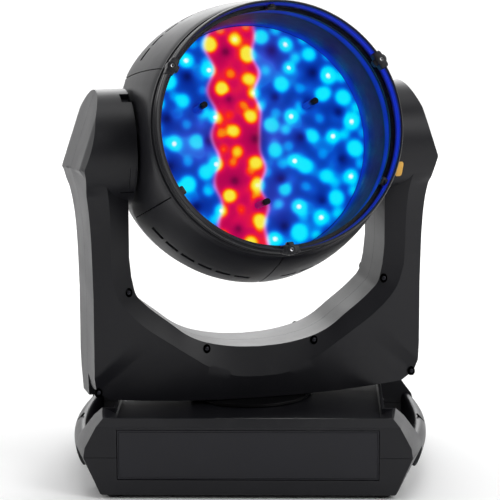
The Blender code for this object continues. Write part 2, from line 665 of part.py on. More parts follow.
def trunnions(head):
    end = TRUNNION_END
    outer, bore = TRUNNION_RADIUS, 14
    profile = [(outer, end), (outer, 158.5), (30, 158.5), (30, 149.6), (bore, 149.6), (bore, end)]
    for side, turn in (("left", -90), ("right", 90)):
        turned_piece("trunnion_" + side, profile, STEEL, head, (0, 0, 0), (0, turn, 0), steps=28)
    turned_piece("tilt_pulley", belt_wheel(TILT_PULLEY_RADIUS, TRUNNION_RADIUS + GAP), METAL, head,
                      (TILT_BELT_X, 0, 0), (0, 90, 0), steps=28)


clear_scene()
PARTS = make_collection("moving_head_light")
CUTTERS = make_collection("cutters")
PLASTIC = make_material("charcoal_plastic", (0.022, 0.022, 0.025), 0.5)
PANEL = make_material("panel_plastic", (0.026, 0.026, 0.030), 0.4)
BLACK = make_material("black_plastic", (0.008, 0.008, 0.009), 0.45)
METAL = make_material("painted_sheet", (0.30, 0.31, 0.32), 0.4, 0.8)
STEEL = make_material("turned_steel", (0.45, 0.45, 0.46), 0.3, 1.0)
RUBBER = make_material("rubber", (0.010, 0.010, 0.010), 0.85)
BOARD = make_material("circuit_board", (0.01, 0.08, 0.03), 0.5)
GLASS = make_material("display_glass", (0.01, 0.02, 0.04), 0.1)
CLEAR = make_material("clear_acrylic", (0.10, 0.20, 0.60), 0.1)
YELLOW = make_material("yellow_plastic", (0.80, 0.48, 0.08), 0.4)

yoke_axis = bpy.data.objects.new("pan_axis", None)
CUTTERS.objects.link(yoke_axis)
yoke_axis.rotation_euler = (0, 0, math.radians(PAN_REST))
head_axis = bpy.data.objects.new("tilt_axis", None)
CUTTERS.objects.link(head_axis)
head_axis.parent = yoke_axis
head_axis.location = (0, 0, TILT_AXIS_Z * MM)
head_axis.rotation_euler = (math.radians(90.0 - TILT_REST), 0, 0)

base_lower_shell()
base_upper_shell()
rear_panel, rear_face = base_panels()
rear_panel_fittings(rear_panel, rear_face)
side_handles()
base_feet()
base_internals()
pan_lock()
yoke_shells(yoke_axis)
tilt_lock(yoke_axis)
yoke_frame(yoke_axis)
yoke_drives(yoke_axis)
head_covers(head_axis)
head_rear_cover(head_axis)
front_ring(head_axis)
head_optics(head_axis)
head_chassis(head_axis)
heat_sink(head_axis)
head_fan(head_axis)
trunnions(head_axis)
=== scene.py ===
import math

import bmesh
import bpy
import numpy as np
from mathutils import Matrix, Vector


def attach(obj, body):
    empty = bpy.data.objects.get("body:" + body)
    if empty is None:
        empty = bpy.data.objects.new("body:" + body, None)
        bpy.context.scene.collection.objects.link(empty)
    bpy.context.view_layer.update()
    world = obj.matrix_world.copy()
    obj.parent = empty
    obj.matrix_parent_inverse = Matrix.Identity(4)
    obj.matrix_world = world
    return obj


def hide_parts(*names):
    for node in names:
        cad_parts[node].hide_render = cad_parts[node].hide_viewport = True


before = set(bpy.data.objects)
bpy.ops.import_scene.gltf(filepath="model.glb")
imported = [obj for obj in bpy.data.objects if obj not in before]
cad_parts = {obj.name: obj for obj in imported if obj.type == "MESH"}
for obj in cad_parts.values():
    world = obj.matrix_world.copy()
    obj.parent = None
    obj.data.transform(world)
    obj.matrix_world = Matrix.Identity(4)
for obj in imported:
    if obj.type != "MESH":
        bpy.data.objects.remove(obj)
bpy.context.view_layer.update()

mm = 0.001

# where the turning parts rest: pan and tilt in degrees, the tilt axis's height in mm
restPose = {"pan": 16.16, "tilt": 15.45, "axisHeight": 411.7}


def linearColour(hexText):  # sRGB hex to linear light, alpha 1
    parts = [int(hexText[k:k + 2], 16) / 255 for k in (1, 3, 5)]
    return [p / 12.92 if p <= 0.04045 else ((p + 0.055) / 1.055) ** 2.4 for p in parts] + [1.0]


# each part of the light has its own frame, in mm; these functions turn its points into metres
def fromBase(points):  # the base's frame is the world's
    return np.asarray(points, float) * mm


def turnOf(name):  # cosine and sine of one of the rest angles
    angle = math.radians(restPose[name])
    return math.cos(angle), math.sin(angle)


def fromYoke(points):  # x along the tilt axis, y backwards, turned by the pan angle about z
    p = np.asarray(points, float)
    c, s = turnOf("pan")
    return np.stack([p[..., 0] * c - p[..., 1] * s, p[..., 0] * s + p[..., 1] * c, p[..., 2]], -1) * mm


def fromHead(points):  # x along the tilt axis, y up the lens, z out of it; turned by the tilt, then the pan
    p = np.asarray(points, float)
    c, s = turnOf("tilt")
    y = p[..., 1] * s - p[..., 2] * c
    z = p[..., 1] * c + p[..., 2] * s + restPose["axisHeight"]
    return fromYoke(np.stack([p[..., 0], y, z], -1))


def toHead(points):  # the opposite of fromHead: metres to x, y and the height along the lens axis, in mm
    p = points / mm
    c, s = turnOf("pan")
    x = p[:, 0] * c + p[:, 1] * s
    back = p[:, 1] * c - p[:, 0] * s
    up = p[:, 2] - restPose["axisHeight"]
    c, s = turnOf("tilt")
    return x, back * s + up * c, up * s - back * c


def gridFaces(rows, cols, wrap, offset):  # quads between neighbouring rows, joined round the ends if wrap
    r = np.arange(rows - 1)[:, None]
    c = np.arange(cols if wrap else cols - 1)[None, :]
    n = (c + 1) % cols
    quads = np.stack([r * cols + c, r * cols + n, (r + 1) * cols + n, (r + 1) * cols + c], -1)
    return quads.reshape(-1, 4) + offset


# in mm: points closer than this are one point, edges shorter than this go
meshCare = {"merge": 0.02, "sliver": 0.01, "bevelSegments": 2}


def meshFrom(name, patches, toWorld):  # a patch is (points in mm, wrap, mask of faces to keep or None)
    points, faces, start = [], [], 0
    for grid, wrap, keep in patches:
        rows, cols = grid.shape[:2]
        quads = gridFaces(rows, cols, wrap, start)
        faces.append(quads if keep is None else quads[np.asarray(keep).reshape(-1)])
        points.append(grid.reshape(-1, 3))
        start += rows * cols
    verts = toWorld(np.concatenate(points))
    quads = np.concatenate(faces)
    mesh = bpy.data.meshes.new(name)
    mesh.vertices.add(len(verts))
    mesh.vertices.foreach_set("co", verts.astype(np.float32).ravel())
    mesh.loops.add(quads.size)
    mesh.loops.foreach_set("vertex_index", quads.astype(np.int32).ravel())
    mesh.polygons.add(len(quads))
    mesh.polygons.foreach_set("loop_start", (np.arange(len(quads)) * 4).astype(np.int32))
    mesh.update(calc_edges=True)
    mesh.validate()
    return mesh


def closeSeams(mesh):  # merges doubled points, drops slivers and loose points, turns every face outwards
    bm = bmesh.new()
    bm.from_mesh(mesh)
    bmesh.ops.remove_doubles(bm, verts=bm.verts, dist=meshCare["merge"] * mm)
    bmesh.ops.dissolve_degenerate(bm, edges=bm.edges, dist=meshCare["sliver"] * mm)
    loose = [v for v in bm.verts if not v.link_faces]
    bmesh.ops.delete(bm, geom=loose, context="VERTS")
    bmesh.ops.recalc_face_normals(bm, faces=bm.faces)
    bm.to_mesh(mesh)
    bm.free()


def faceAway(mesh, middle):  # turns an open sheet round if its faces look at the middle
    bm = bmesh.new()
    bm.from_mesh(mesh)
    bmesh.ops.recalc_face_normals(bm, faces=bm.faces)
    centre = Vector(middle)
    total = sum(f.normal.dot(f.calc_center_median() - centre) * f.calc_area() for f in bm.faces)
    if total < 0:
        bmesh.ops.reverse_faces(bm, faces=bm.faces)
    bm.to_mesh(mesh)
    bm.free()


# an open sheet gives the point that it faces away from; wall and bevel are mm, sharp and bevelAngle degrees
def makePiece(name, patches, toWorld, body, material, stands=(), wall=0.0, bevel=0.0, sharp=32,
              bevelAngle=28, awayFrom=None):
    mesh = meshFrom(name, patches, toWorld)
    if awayFrom is None:
        closeSeams(mesh)
    else:
        faceAway(mesh, awayFrom)
    piece = bpy.data.objects.new(name, mesh)
    bpy.context.scene.collection.objects.link(piece)
    mesh.materials.append(material)
    if wall:
        thickness = piece.modifiers.new("wall", "SOLIDIFY")
        thickness.thickness = wall * mm
        thickness.offset = -1.0
    if bevel:
        soft = piece.modifiers.new("edges", "BEVEL")
        soft.width = bevel * mm
        soft.segments = meshCare["bevelSegments"]
        soft.limit_method = "ANGLE"
        soft.angle_limit = math.radians(bevelAngle)
        soft.harden_normals = True
    mesh.shade_smooth()
    if not bevel:
        mesh.set_sharp_from_angle(angle=math.radians(sharp))
    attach(piece, body)
    if stands:
        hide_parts(*stands)
    return piece


def spun(profile, steps):  # a profile of (radius, height) carried round z: x = r cos a, y = r sin a
    p = np.asarray(profile, float)
    a = np.radians(np.linspace(0, 360, steps, endpoint=False))
    x = p[:, 0][:, None] * np.cos(a)
    y = p[:, 0][:, None] * np.sin(a)
    return np.stack([x, y, np.repeat(p[:, 1][:, None], steps, 1)], -1)


def ringPatch(profile, steps=96):  # a closed ring: the profile's last point joins its first
    return (spun(list(profile) + [profile[0]], steps), True, None)


def solidPatch(profile, steps=48):  # a turned solid: the profile starts and ends on the axis
    return (spun(profile, steps), True, None)


def moved(patch, shift=(0, 0, 0), axis=None):  # turns a patch's z to run along axis, then shifts it
    grid, wrap, keep = patch
    if axis is not None:
        turn = np.array(Vector(axis).to_track_quat("Z", "Y").to_matrix())
        grid = grid @ turn.T
    return (grid + np.asarray(shift, float), wrap, keep)


def along(angle, patch, radius=0.0):  # shifts a patch to +x by the radius, then turns it round z by the angle
    grid, wrap, keep = patch
    c, s = math.cos(math.radians(angle)), math.sin(math.radians(angle))
    x, y = grid[..., 0] + radius, grid[..., 1]
    return (np.stack([x * c - y * s, x * s + y * c, grid[..., 2]], -1), wrap, keep)


def withEnds(rows):  # closes a tube of loops with the middle point of its first and of its last loop
    ends = [np.repeat(row.mean(0)[None], len(row), 0) for row in (rows[0], rows[-1])]
    return np.stack([ends[0]] + list(rows) + [ends[1]])


def rodPatch(start, end, radius, steps=10):  # a straight rod with closed ends between two points
    a, b = np.asarray(start, float), np.asarray(end, float)
    length = float(np.linalg.norm(b - a))
    return moved(solidPatch([(0, 0), (radius, 0), (radius, length), (0, length)], steps), a, b - a)


def discPoints(radius, first, rings, steps):  # x and y on rings, from a first share of the radius out
    r = radius * np.linspace(first, 1, rings)[:, None]
    a = np.linspace(0, 2 * math.pi, steps, endpoint=False)[None, :]
    return r * np.cos(a), r * np.sin(a)


def discPatch(x, y, z, back):  # a disc's front over its rings, its middle point, its rim and a flat back
    steps = x.shape[1]
    middle = np.array([[[0, 0, z[0].mean()]] * steps])
    edge = np.stack([x[-1:], y[-1:], np.full_like(x[-1:], back)], -1)
    under = np.array([[[0, 0, back]] * steps])
    return (np.concatenate([middle, np.stack([x, y, z], -1), edge, under]), True, None)


def steppedPlate(low, high, steps, perSide):  # rectangles in x and z, each with its inset and depth
    rings = []
    for inset, y in steps:
        x0, z0, x1, z1 = low[0] + inset, low[1] + inset, high[0] - inset, high[1] - inset
        corner = [(x0, z0), (x1, z0), (x1, z1), (x0, z1)]
        sides = [np.linspace(corner[k], corner[(k + 1) % 4], perSide, endpoint=False) for k in range(4)]
        line = np.concatenate(sides)
        rings.append(np.stack([line[:, 0], np.full(len(line), y), line[:, 1]], -1))
    return (withEnds(rings), True, None)


def roundCorners(points, rounds=2, closed=False):  # cuts every corner again and again, which leaves a curve
    p = np.asarray(points, float)
    for turn in range(rounds):
        a, b = (p, np.roll(p, -1, 0)) if closed else (p[:-1], p[1:])
        cut = np.stack([a * 0.75 + b * 0.25, a * 0.25 + b * 0.75], 1).reshape(-1, p.shape[1])
        p = cut if closed else np.concatenate([p[:1], cut[1:-1], p[-1:]])
    return p


def superBlock(size, power=5.0, rows=14, cols=40):
    # a soft-cornered block: signed powers of a sphere's sines and cosines, times the half sizes in mm
    u = np.linspace(-math.pi / 2, math.pi / 2, rows)[:, None]
    v = np.linspace(-math.pi, math.pi, cols, endpoint=False)[None, :]

    def part(value):
        return np.sign(value) * np.abs(value) ** (2.0 / power)

    x = part(np.cos(u)) * part(np.cos(v)) * size[0]
    y = part(np.cos(u)) * part(np.sin(v)) * size[1]
    z = part(np.sin(u)) * np.ones_like(v) * size[2]
    return (np.stack([x, y, z], -1), True, None)


def addNode(tree, kind, settings=None, links=None):
    node = tree.nodes.new(kind)
    for key, value in (settings or {}).items():
        setattr(node, key, value)
    for key, value in (links or {}).items():
        if isinstance(value, bpy.types.NodeSocket):
            tree.links.new(value, node.inputs[key])
        else:
            node.inputs[key].default_value = value
    return node


def newMaterial(name):
    material = bpy.data.materials.new(name)
    material.use_nodes = True
    tree = material.node_tree
    return material, tree, tree.nodes["Principled BSDF"]


def mouldedPlastic(name, look):
    # Injection-moulded ABS with a spark-eroded grain: fine bumps break up the sheen, the colour drifts a
    # little from thick to thin places, and rubbed edges and faint dust lie a shade lighter.
    material, tree, shader = newMaterial(name)
    place = addNode(tree, "ShaderNodeTexCoord").outputs["Object"]
    grain = addNode(tree, "ShaderNodeTexNoise", links={"Vector": place, "Scale": 1000 / look["grainMm"],
                                                       "Detail": 4.0, "Roughness": 0.6})
    drift = addNode(tree, "ShaderNodeTexNoise", links={"Vector": place, "Scale": 1000 / look["driftMm"],
                                                       "Detail": 3.0})
    dust = addNode(tree, "ShaderNodeTexNoise", links={"Vector": place, "Scale": 1000 / look["dustMm"],
                                                      "Detail": 6.0, "Roughness": 0.7})
    ramp = addNode(tree, "ShaderNodeMapRange", links={"Value": dust.outputs["Fac"], "From Min": 0.56,
                                                      "From Max": 0.78})
    base = addNode(tree, "ShaderNodeMix", {"data_type": "RGBA"},
                   {"Factor": drift.outputs["Fac"], 6: linearColour(look["dark"]),
                    7: linearColour(look["light"])})
    rub = addNode(tree, "ShaderNodeMath", {"operation": "MULTIPLY"},
                  {0: ramp.outputs["Result"], 1: look["dust"]})
    worn = addNode(tree, "ShaderNodeMix", {"data_type": "RGBA"},
                   {"Factor": rub.outputs["Value"], 6: base.outputs[2], 7: linearColour(look["worn"])})
    rough = addNode(tree, "ShaderNodeMapRange", links={"Value": drift.outputs["Fac"], "From Min": 0.3,
                                                       "From Max": 0.7, "To Min": look["rough"][0],
                                                       "To Max": look["rough"][1]})
    bump = addNode(tree, "ShaderNodeBump", links={"Height": grain.outputs["Fac"], "Strength": look["bump"],
                                                  "Distance": 0.0002})
    tree.links.new(worn.outputs[2], shader.inputs["Base Color"])
    tree.links.new(rough.outputs["Result"], shader.inputs["Roughness"])
    tree.links.new(bump.outputs["Normal"], shader.inputs["Normal"])
    shader.inputs["IOR"].default_value = look["ior"]
    return material


housingLook = {"dark": "#141418", "light": "#1c1c21", "worn": "#4c4c50", "grainMm": 1.1, "driftMm": 60,
               "dustMm": 26, "dust": 0.08, "rough": (0.36, 0.44), "bump": 0.2, "ior": 1.38}
panelLook = dict(housingLook, dark="#1d1d22", light="#25252b", rough=(0.38, 0.46), dust=0.05, bump=0.12)
trimLook = dict(housingLook, dark="#08080a", light="#0e0e10", rough=(0.30, 0.40), dust=0.04, bump=0.08)
liningLook = dict(trimLook, dark="#050508", light="#09090e", rough=(0.34, 0.44), bump=0.05)
rubberLook = dict(trimLook, dark="#0c0c0c", light="#151515", rough=(0.78, 0.88), bump=0.5, grainMm=0.8,
                  ior=1.5)
catchLook = dict(housingLook, dark="#e6a83a", light="#f6c464", worn="#fbdc98", rough=(0.34, 0.42),
                 bump=0.05, dust=0.2)

housing = mouldedPlastic("moulded charcoal ABS", housingLook)
panelPlastic = mouldedPlastic("moulded panel ABS", panelLook)
trim = mouldedPlastic("smooth black nylon", trimLook)
lining = mouldedPlastic("glossy black lining", liningLook)
rubber = mouldedPlastic("moulded rubber", rubberLook)
catchPlastic = mouldedPlastic("moulded yellow acetal", catchLook)
# near black and matt: painted shade inside recesses, slots and the rings round screws
paintedShadeLook = dict(liningLook, dark="#010101", light="#020202", worn="#040404", rough=(0.9, 1.0), dust=0.0,
                ior=1.05)
paintedShade = mouldedPlastic("painted shade in recesses", paintedShadeLook)


def metalSheet(name, look):
    # Sheet or turned metal: fine lines run round or along it, and the gloss breaks up along them.
    material, tree, shader = newMaterial(name)
    place = addNode(tree, "ShaderNodeTexCoord").outputs["Object"]
    stretch = addNode(tree, "ShaderNodeMapping", links={"Vector": place, "Scale": look["stretch"]})
    lines = addNode(tree, "ShaderNodeTexNoise", links={"Vector": stretch.outputs["Vector"],
                                                       "Scale": 1000 / look["lineMm"], "Detail": 5.0})
    colour = addNode(tree, "ShaderNodeMix", {"data_type": "RGBA"},
                     {"Factor": lines.outputs["Fac"], 6: linearColour(look["dark"]),
                      7: linearColour(look["light"])})
    rough = addNode(tree, "ShaderNodeMapRange", links={"Value": lines.outputs["Fac"], "From Min": 0.3,
                                                       "From Max": 0.7, "To Min": look["rough"][0],
                                                       "To Max": look["rough"][1]})
    bump = addNode(tree, "ShaderNodeBump", links={"Height": lines.outputs["Fac"], "Strength": look["bump"],
                                                  "Distance": 0.0001})
    tree.links.new(colour.outputs[2], shader.inputs["Base Color"])
    tree.links.new(rough.outputs["Result"], shader.inputs["Roughness"])
    tree.links.new(bump.outputs["Normal"], shader.inputs["Normal"])
    shader.inputs["Metallic"].default_value = look["metallic"]
    return material


steelLook = {"dark": "#8b8b8e", "light": "#c3c3c6", "stretch": (1, 1, 0.12), "lineMm": 0.9,
             "rough": (0.22, 0.36), "bump": 0.25, "metallic": 1.0}
sheetLook = {"dark": "#3a3b3e", "light": "#4a4b4f", "stretch": (1, 1, 1), "lineMm": 1.2,
             "rough": (0.40, 0.52), "bump": 0.35, "metallic": 0.0}
boltLook = dict(steelLook, dark="#26262a", light="#3c3c42", rough=(0.25, 0.38))
rearSheetLook = dict(sheetLook, dark="#1f1f22", light="#2a2a2e")
steel = metalSheet("turned steel", steelLook)
plainSheet = metalSheet("powder-coated sheet", sheetLook)
rearSheet = metalSheet("black powder-coated sheet", rearSheetLook)
blackBolt = metalSheet("blackened screw steel", boltLook)


def boardMaterial(look):
    # Glass-fibre board under solder mask: copper tracks show as a slightly lighter green.
    material, tree, shader = newMaterial("solder-masked board")
    place = addNode(tree, "ShaderNodeTexCoord").outputs["Object"]
    tracks = addNode(tree, "ShaderNodeTexBrick", {"offset": 0.5},
                     {"Vector": place, "Scale": 1000 / look["trackMm"], "Color1": linearColour(look["mask"]),
                      "Color2": linearColour(look["mask"]), "Mortar": linearColour(look["track"])})
    tree.links.new(tracks.outputs["Color"], shader.inputs["Base Color"])
    shader.inputs["Roughness"].default_value = 0.35
    return material


board = boardMaterial({"mask": "#0a3018", "track": "#1c5a30", "trackMm": 8})


def clearPlate(name, look):
    # Moulded acrylic or hardened glass, seen as its gloss only: what is behind it shows, stronger at a
    # glance angle.
    material, tree, shader = newMaterial(name)
    place = addNode(tree, "ShaderNodeTexCoord").outputs["Object"]
    smear = addNode(tree, "ShaderNodeTexNoise", links={"Vector": place, "Scale": 1000 / look["smearMm"],
                                                       "Detail": 2.0})
    rough = addNode(tree, "ShaderNodeMapRange", links={"Value": smear.outputs["Fac"],
                                                       "To Min": look["rough"][0],
                                                       "To Max": look["rough"][1]})
    tree.links.new(rough.outputs["Result"], shader.inputs["Roughness"])
    shader.inputs["Base Color"].default_value = linearColour(look["tint"])
    through = addNode(tree, "ShaderNodeBsdfTransparent", links={"Color": linearColour(look["through"])})
    edge = addNode(tree, "ShaderNodeFresnel", links={"IOR": look["ior"]})
    share = addNode(tree, "ShaderNodeMath", {"operation": "MULTIPLY"},
                    {0: edge.outputs["Fac"], 1: look["gloss"]})
    mixed = addNode(tree, "ShaderNodeMixShader", links={0: share.outputs["Value"], 1: through.outputs["BSDF"],
                                                        2: shader.outputs["BSDF"]})
    tree.links.new(mixed.outputs["Shader"], tree.nodes["Material Output"].inputs["Surface"])
    return material


frontGlassLook = {"tint": "#040506", "through": "#fdfeff", "ior": 1.40, "gloss": 0.45, "rough": (0.02, 0.05),
                  "smearMm": 45}
lensLook = {"tint": "#04060c", "through": "#fbfdff", "ior": 1.35, "gloss": 0.12, "rough": (0.08, 0.16),
            "smearMm": 20}
frontGlass = clearPlate("toughened glass", frontGlassLook)
lensAcrylic = clearPlate("moulded lens acrylic", lensLook)
print("materials ready")


# the lit sheet over the LEDs; its colours are worked out point by point
ledPlate = {
    "radius": 145.8, "height": 15.2, "thick": 1.0, "dome": 1.6,   # mm; it lies on the board
    "rings": 132, "steps": 400,
    "unit": 150.0, "centre": (2.5, 2.0),   # mm; the sizes and places below are shares of the unit
    "cells": [(0.0, 1, 0.0), (0.40, 6, 0.0), (0.77, 12, 15.0)],   # radius, how many, first angle
    "posts": (0.545, 3, 30.0),
    # radius, how many, first angle, strength
    "spots": [(0.865, 24, 7.5, 1.0), (0.69, 12, 0.0, 0.85), (0.51, 12, 30.0, 0.8), (0.39, 6, 30.0, 0.85),
              (0.19, 6, 30.0, 0.8), (0.29, 12, 15.0, 0.35), (0.60, 12, 15.0, 0.35), (0.77, 12, 30.0, 0.35),
              (0.955, 24, 0.0, 0.45)],
    "stray": 0.012, "bell": 0.066, "halo": 0.085, "core": 0.017, "coreFrom": 0.85,
    "cellDark": (0.75, 0.045), "postDark": (0.95, 0.062), "facets": (190, 0.055), "domeSize": 0.13,
    # the red band's two edges: place, depth and start of the scallops, depth, count and phase of the ripple
    "edges": [(-0.345, 0.030, 0.20, 0.012, 17, 1.2), (0.050, 0.020, 0.56, 0.010, 23, 0.0)],
    "scallop": 0.385, "edgeSoft": 0.007, "fringe": 0.016,
    "rim": (0.972, 0.012),   # where the light ends, and how softly
    "veils": [(-0.47, 0.0), (0.14, 0.05), (0.16, 0.72), (0.12, -0.5)], "veilSize": 0.2,
    "purple": "#6a2fb8", "pink": "#e9a4ff", "bloom": "#0a28a8",
    "blue": [(0.0, "#05043a"), (0.2, "#062a94"), (0.42, "#0a52cc"), (0.62, "#0098f2"), (0.82, "#00dcfc"),
             (1.2, "#18f0ff"), (1.6, "#f4ffff")],
    "red": [(0.0, "#4c0434"), (0.2, "#b4044e"), (0.42, "#dc0a50"), (0.62, "#ff2416"), (0.80, "#ff8a0c"),
            (0.98, "#ffd824"), (1.2, "#fff64e"), (1.8, "#fffbb0")],
    "power": 1.08,
}


def ringPoints(radius, count, first):
    a = np.radians(first + 360.0 / count * np.arange(count))
    return np.stack([radius * np.cos(a), radius * np.sin(a)], -1)


def nearness(u, v, spots, size):  # sum of round bells, one about each spot
    total = np.zeros_like(u)
    for sx, sy in spots:
        total += np.exp(-((u - sx) ** 2 + (v - sy) ** 2) / size ** 2)
    return total


def cellMiddles():  # the middles of the round lens cells, in shares of the unit
    return np.concatenate([ringPoints(*c) for c in ledPlate["cells"]])


def softStep(value):  # rises from nought to one along a logistic curve
    return 1 / (1 + np.exp(-np.clip(value, -40, 40)))


def linearRgb(hexText):
    return np.array(linearColour(hexText)[:3])


def colourStops(amount, stops):  # straight blends between linear colours at rising amounts
    keys = [s[0] for s in stops]
    colours = np.array([linearRgb(s[1]) for s in stops])
    return np.stack([np.interp(amount, keys, colours[:, k]) for k in range(3)], -1)


def ledAmount(u, v, draw):
    # bells of light round the chips lift a dim floor of facets; the cells' middles and the posts stay dark
    glow, core, halo = np.zeros_like(u), np.zeros_like(u), np.zeros_like(u)
    for radius, count, first, strength in ledPlate["spots"]:
        spots = ringPoints(radius, count, first) + draw.normal(0, ledPlate["stray"], (count, 2))
        power = strength * draw.uniform(0.8, 1.1, count)
        for (sx, sy), p in zip(spots, power):
            d2 = (u - sx) ** 2 + (v - sy) ** 2
            glow += p * np.exp(-(d2 / (ledPlate["bell"] * (0.55 + 0.45 * p)) ** 2) ** 1.4)
            halo += p * np.exp(-d2 / ledPlate["halo"] ** 2)
        if strength >= ledPlate["coreFrom"]:
            core += nearness(u, v, spots[::2] if count > 6 else spots, ledPlate["core"])
    cellShare, cellSize = ledPlate["cellDark"]
    postShare, postSize = ledPlate["postDark"]
    dark = cellShare * nearness(u, v, cellMiddles(), cellSize)
    dark += postShare * nearness(u, v, ringPoints(*ledPlate["posts"]), postSize)
    count, size = ledPlate["facets"]
    facets = np.clip(nearness(u, v, draw.uniform(-1, 1, (count, 2)), size), 0, 1.2) / 1.2
    floor = 0.20 + 0.22 * facets + 0.20 * np.clip(halo, 0, 1.4)
    amount = np.clip((floor + 0.85 * glow) * (1 - np.clip(dark, 0, 0.92)), 0, 1.1) + 0.9 * core
    return amount, facets


def bandEdge(v, edge):  # one upright edge of the red band: scallops and a finer ripple about its place
    place, deep, start, ripple, count, phase = edge
    scallops = deep * np.cos(2 * math.pi * (v - start) / ledPlate["scallop"])
    return place + scallops + ripple * np.cos(count * v + phase)


def ledColours(x, y):
    # the amount of light picks a colour: blue with purple veils, or red within the band, pink along its edges
    u = (x - ledPlate["centre"][0]) / ledPlate["unit"]
    v = (y - ledPlate["centre"][1]) / ledPlate["unit"]
    amount, facets = ledAmount(u, v, np.random.default_rng(7))
    blue, red = colourStops(amount, ledPlate["blue"]), colourStops(amount, ledPlate["red"])
    veil = (0.35 * nearness(u, v, ledPlate["veils"], ledPlate["veilSize"]))[..., None]
    purple = linearRgb(ledPlate["purple"])
    blue = blue * (1 - 0.5 * veil) + purple * veil * (0.35 + 0.4 * facets[..., None])
    low, high = [bandEdge(v, edge) for edge in ledPlate["edges"]]
    soft, fringe = ledPlate["edgeSoft"], ledPlate["fringe"]
    inside = (softStep((u - low) / soft) * softStep((high - u) / soft))[..., None]
    colour = blue * (1 - inside) + red * inside
    near = np.exp(-((u - low) / fringe) ** 2) + np.exp(-((u - high) / fringe) ** 2)
    colour += (0.28 * near * (0.4 + 0.8 * facets))[..., None] * linearRgb(ledPlate["pink"])
    end, softness = ledPlate["rim"]
    rim = softStep((end - np.hypot(u, v)) / softness)
    side = 0.55 + 0.45 * softStep((0.93 - u * 0.80 - v * 0.28) / 0.05)   # dimmer towards the upper right rim
    return colour * (rim * side)[..., None] + linearRgb(ledPlate["bloom"]) * (1 - rim)[..., None]


def ledMaterial():
    # a clear lens sheet lit from below: it shines by itself, in the colour that each of its points holds
    material, tree, shader = newMaterial("lit lens plate")
    light = addNode(tree, "ShaderNodeAttribute", {"attribute_name": "ledColour"})
    place = addNode(tree, "ShaderNodeTexCoord").outputs["Object"]
    fine = addNode(tree, "ShaderNodeTexNoise", links={"Vector": place, "Scale": 400.0, "Detail": 2.0})
    rough = addNode(tree, "ShaderNodeMapRange", links={"Value": fine.outputs["Fac"], "To Min": 0.15,
                                                       "To Max": 0.35})
    tree.links.new(rough.outputs["Result"], shader.inputs["Roughness"])
    tree.links.new(light.outputs["Color"], shader.inputs["Emission Color"])
    shader.inputs["Base Color"].default_value = linearColour("#04040a")
    shader.inputs["IOR"].default_value = 1.06
    shader.inputs["Emission Strength"].default_value = ledPlate["power"]
    return material


def pointsOf(piece):
    co = np.zeros(len(piece.data.vertices) * 3, np.float32)
    piece.data.vertices.foreach_get("co", co)
    return co.reshape(-1, 3).astype(float)


def setColour(piece, name, rgb):  # a colour for every point, read by the piece's material
    rgba = np.ones((len(rgb), 4), np.float32)
    rgba[:, :3] = rgb
    piece.data.attributes.new(name, "FLOAT_COLOR", "POINT").data.foreach_set("color", rgba.ravel())


def setShare(piece, name, share):
    setColour(piece, name, np.repeat(np.asarray(share, float)[:, None], 3, 1))


def makeLedPlate():
    # a disc whose front is a shallow dome over each cell of chips
    x, y = discPoints(ledPlate["radius"], 0.004, ledPlate["rings"], ledPlate["steps"])
    u = (x - ledPlate["centre"][0]) / ledPlate["unit"]
    v = (y - ledPlate["centre"][1]) / ledPlate["unit"]
    swell = np.clip(nearness(u, v, cellMiddles(), ledPlate["domeSize"]), 0, 1)
    z = ledPlate["height"] + ledPlate["dome"] * swell
    patch = discPatch(x, y, z, ledPlate["height"] - ledPlate["thick"])
    piece = makePiece("led_plate", [patch], fromHead, "head", ledMaterial(), sharp=60)
    setColour(piece, "ledColour", ledColours(*toHead(pointsOf(piece))[:2]))


makeLedPlate()
print("led plate made")


lensPlate = {"radius": 144.4, "back": 40.2, "front": 46.2, "dome": 1.7, "cellRadius": 29.0}


def makeLensPlate():
    # a disc whose front swells over every cell, as a bowl turned over: 1 - d squared; its back is flat
    x, y = discPoints(lensPlate["radius"], 0.003, 60, 180)
    swell = np.zeros_like(x)
    for cx, cy in cellMiddles() * ledPlate["unit"]:
        swell = np.maximum(swell, 1 - ((x - cx) ** 2 + (y - cy) ** 2) / lensPlate["cellRadius"] ** 2)
    z = lensPlate["front"] + lensPlate["dome"] * np.clip(swell, 0, 1)
    makePiece("zoom_lens_plate", [discPatch(x, y, z, lensPlate["back"])], fromHead, "lens_carriage",
              lensAcrylic, ("lens_array",), sharp=50)


makeLensPlate()


def addPaintedGlow(material, colour):
    # painted light: where the share is high, the surface glows by itself in the colour of the LED light
    # beside it
    tree = material.node_tree
    share = addNode(tree, "ShaderNodeAttribute", {"attribute_name": "wash"})
    tinted = addNode(tree, "ShaderNodeMix", {"data_type": "RGBA"},
                     {"Factor": share.outputs["Fac"], 6: linearColour("#000000"), 7: linearColour(colour)})
    shader = tree.nodes["Principled BSDF"]
    tree.links.new(tinted.outputs[2], shader.inputs["Emission Color"])
    shader.inputs["Emission Strength"].default_value = 1.0


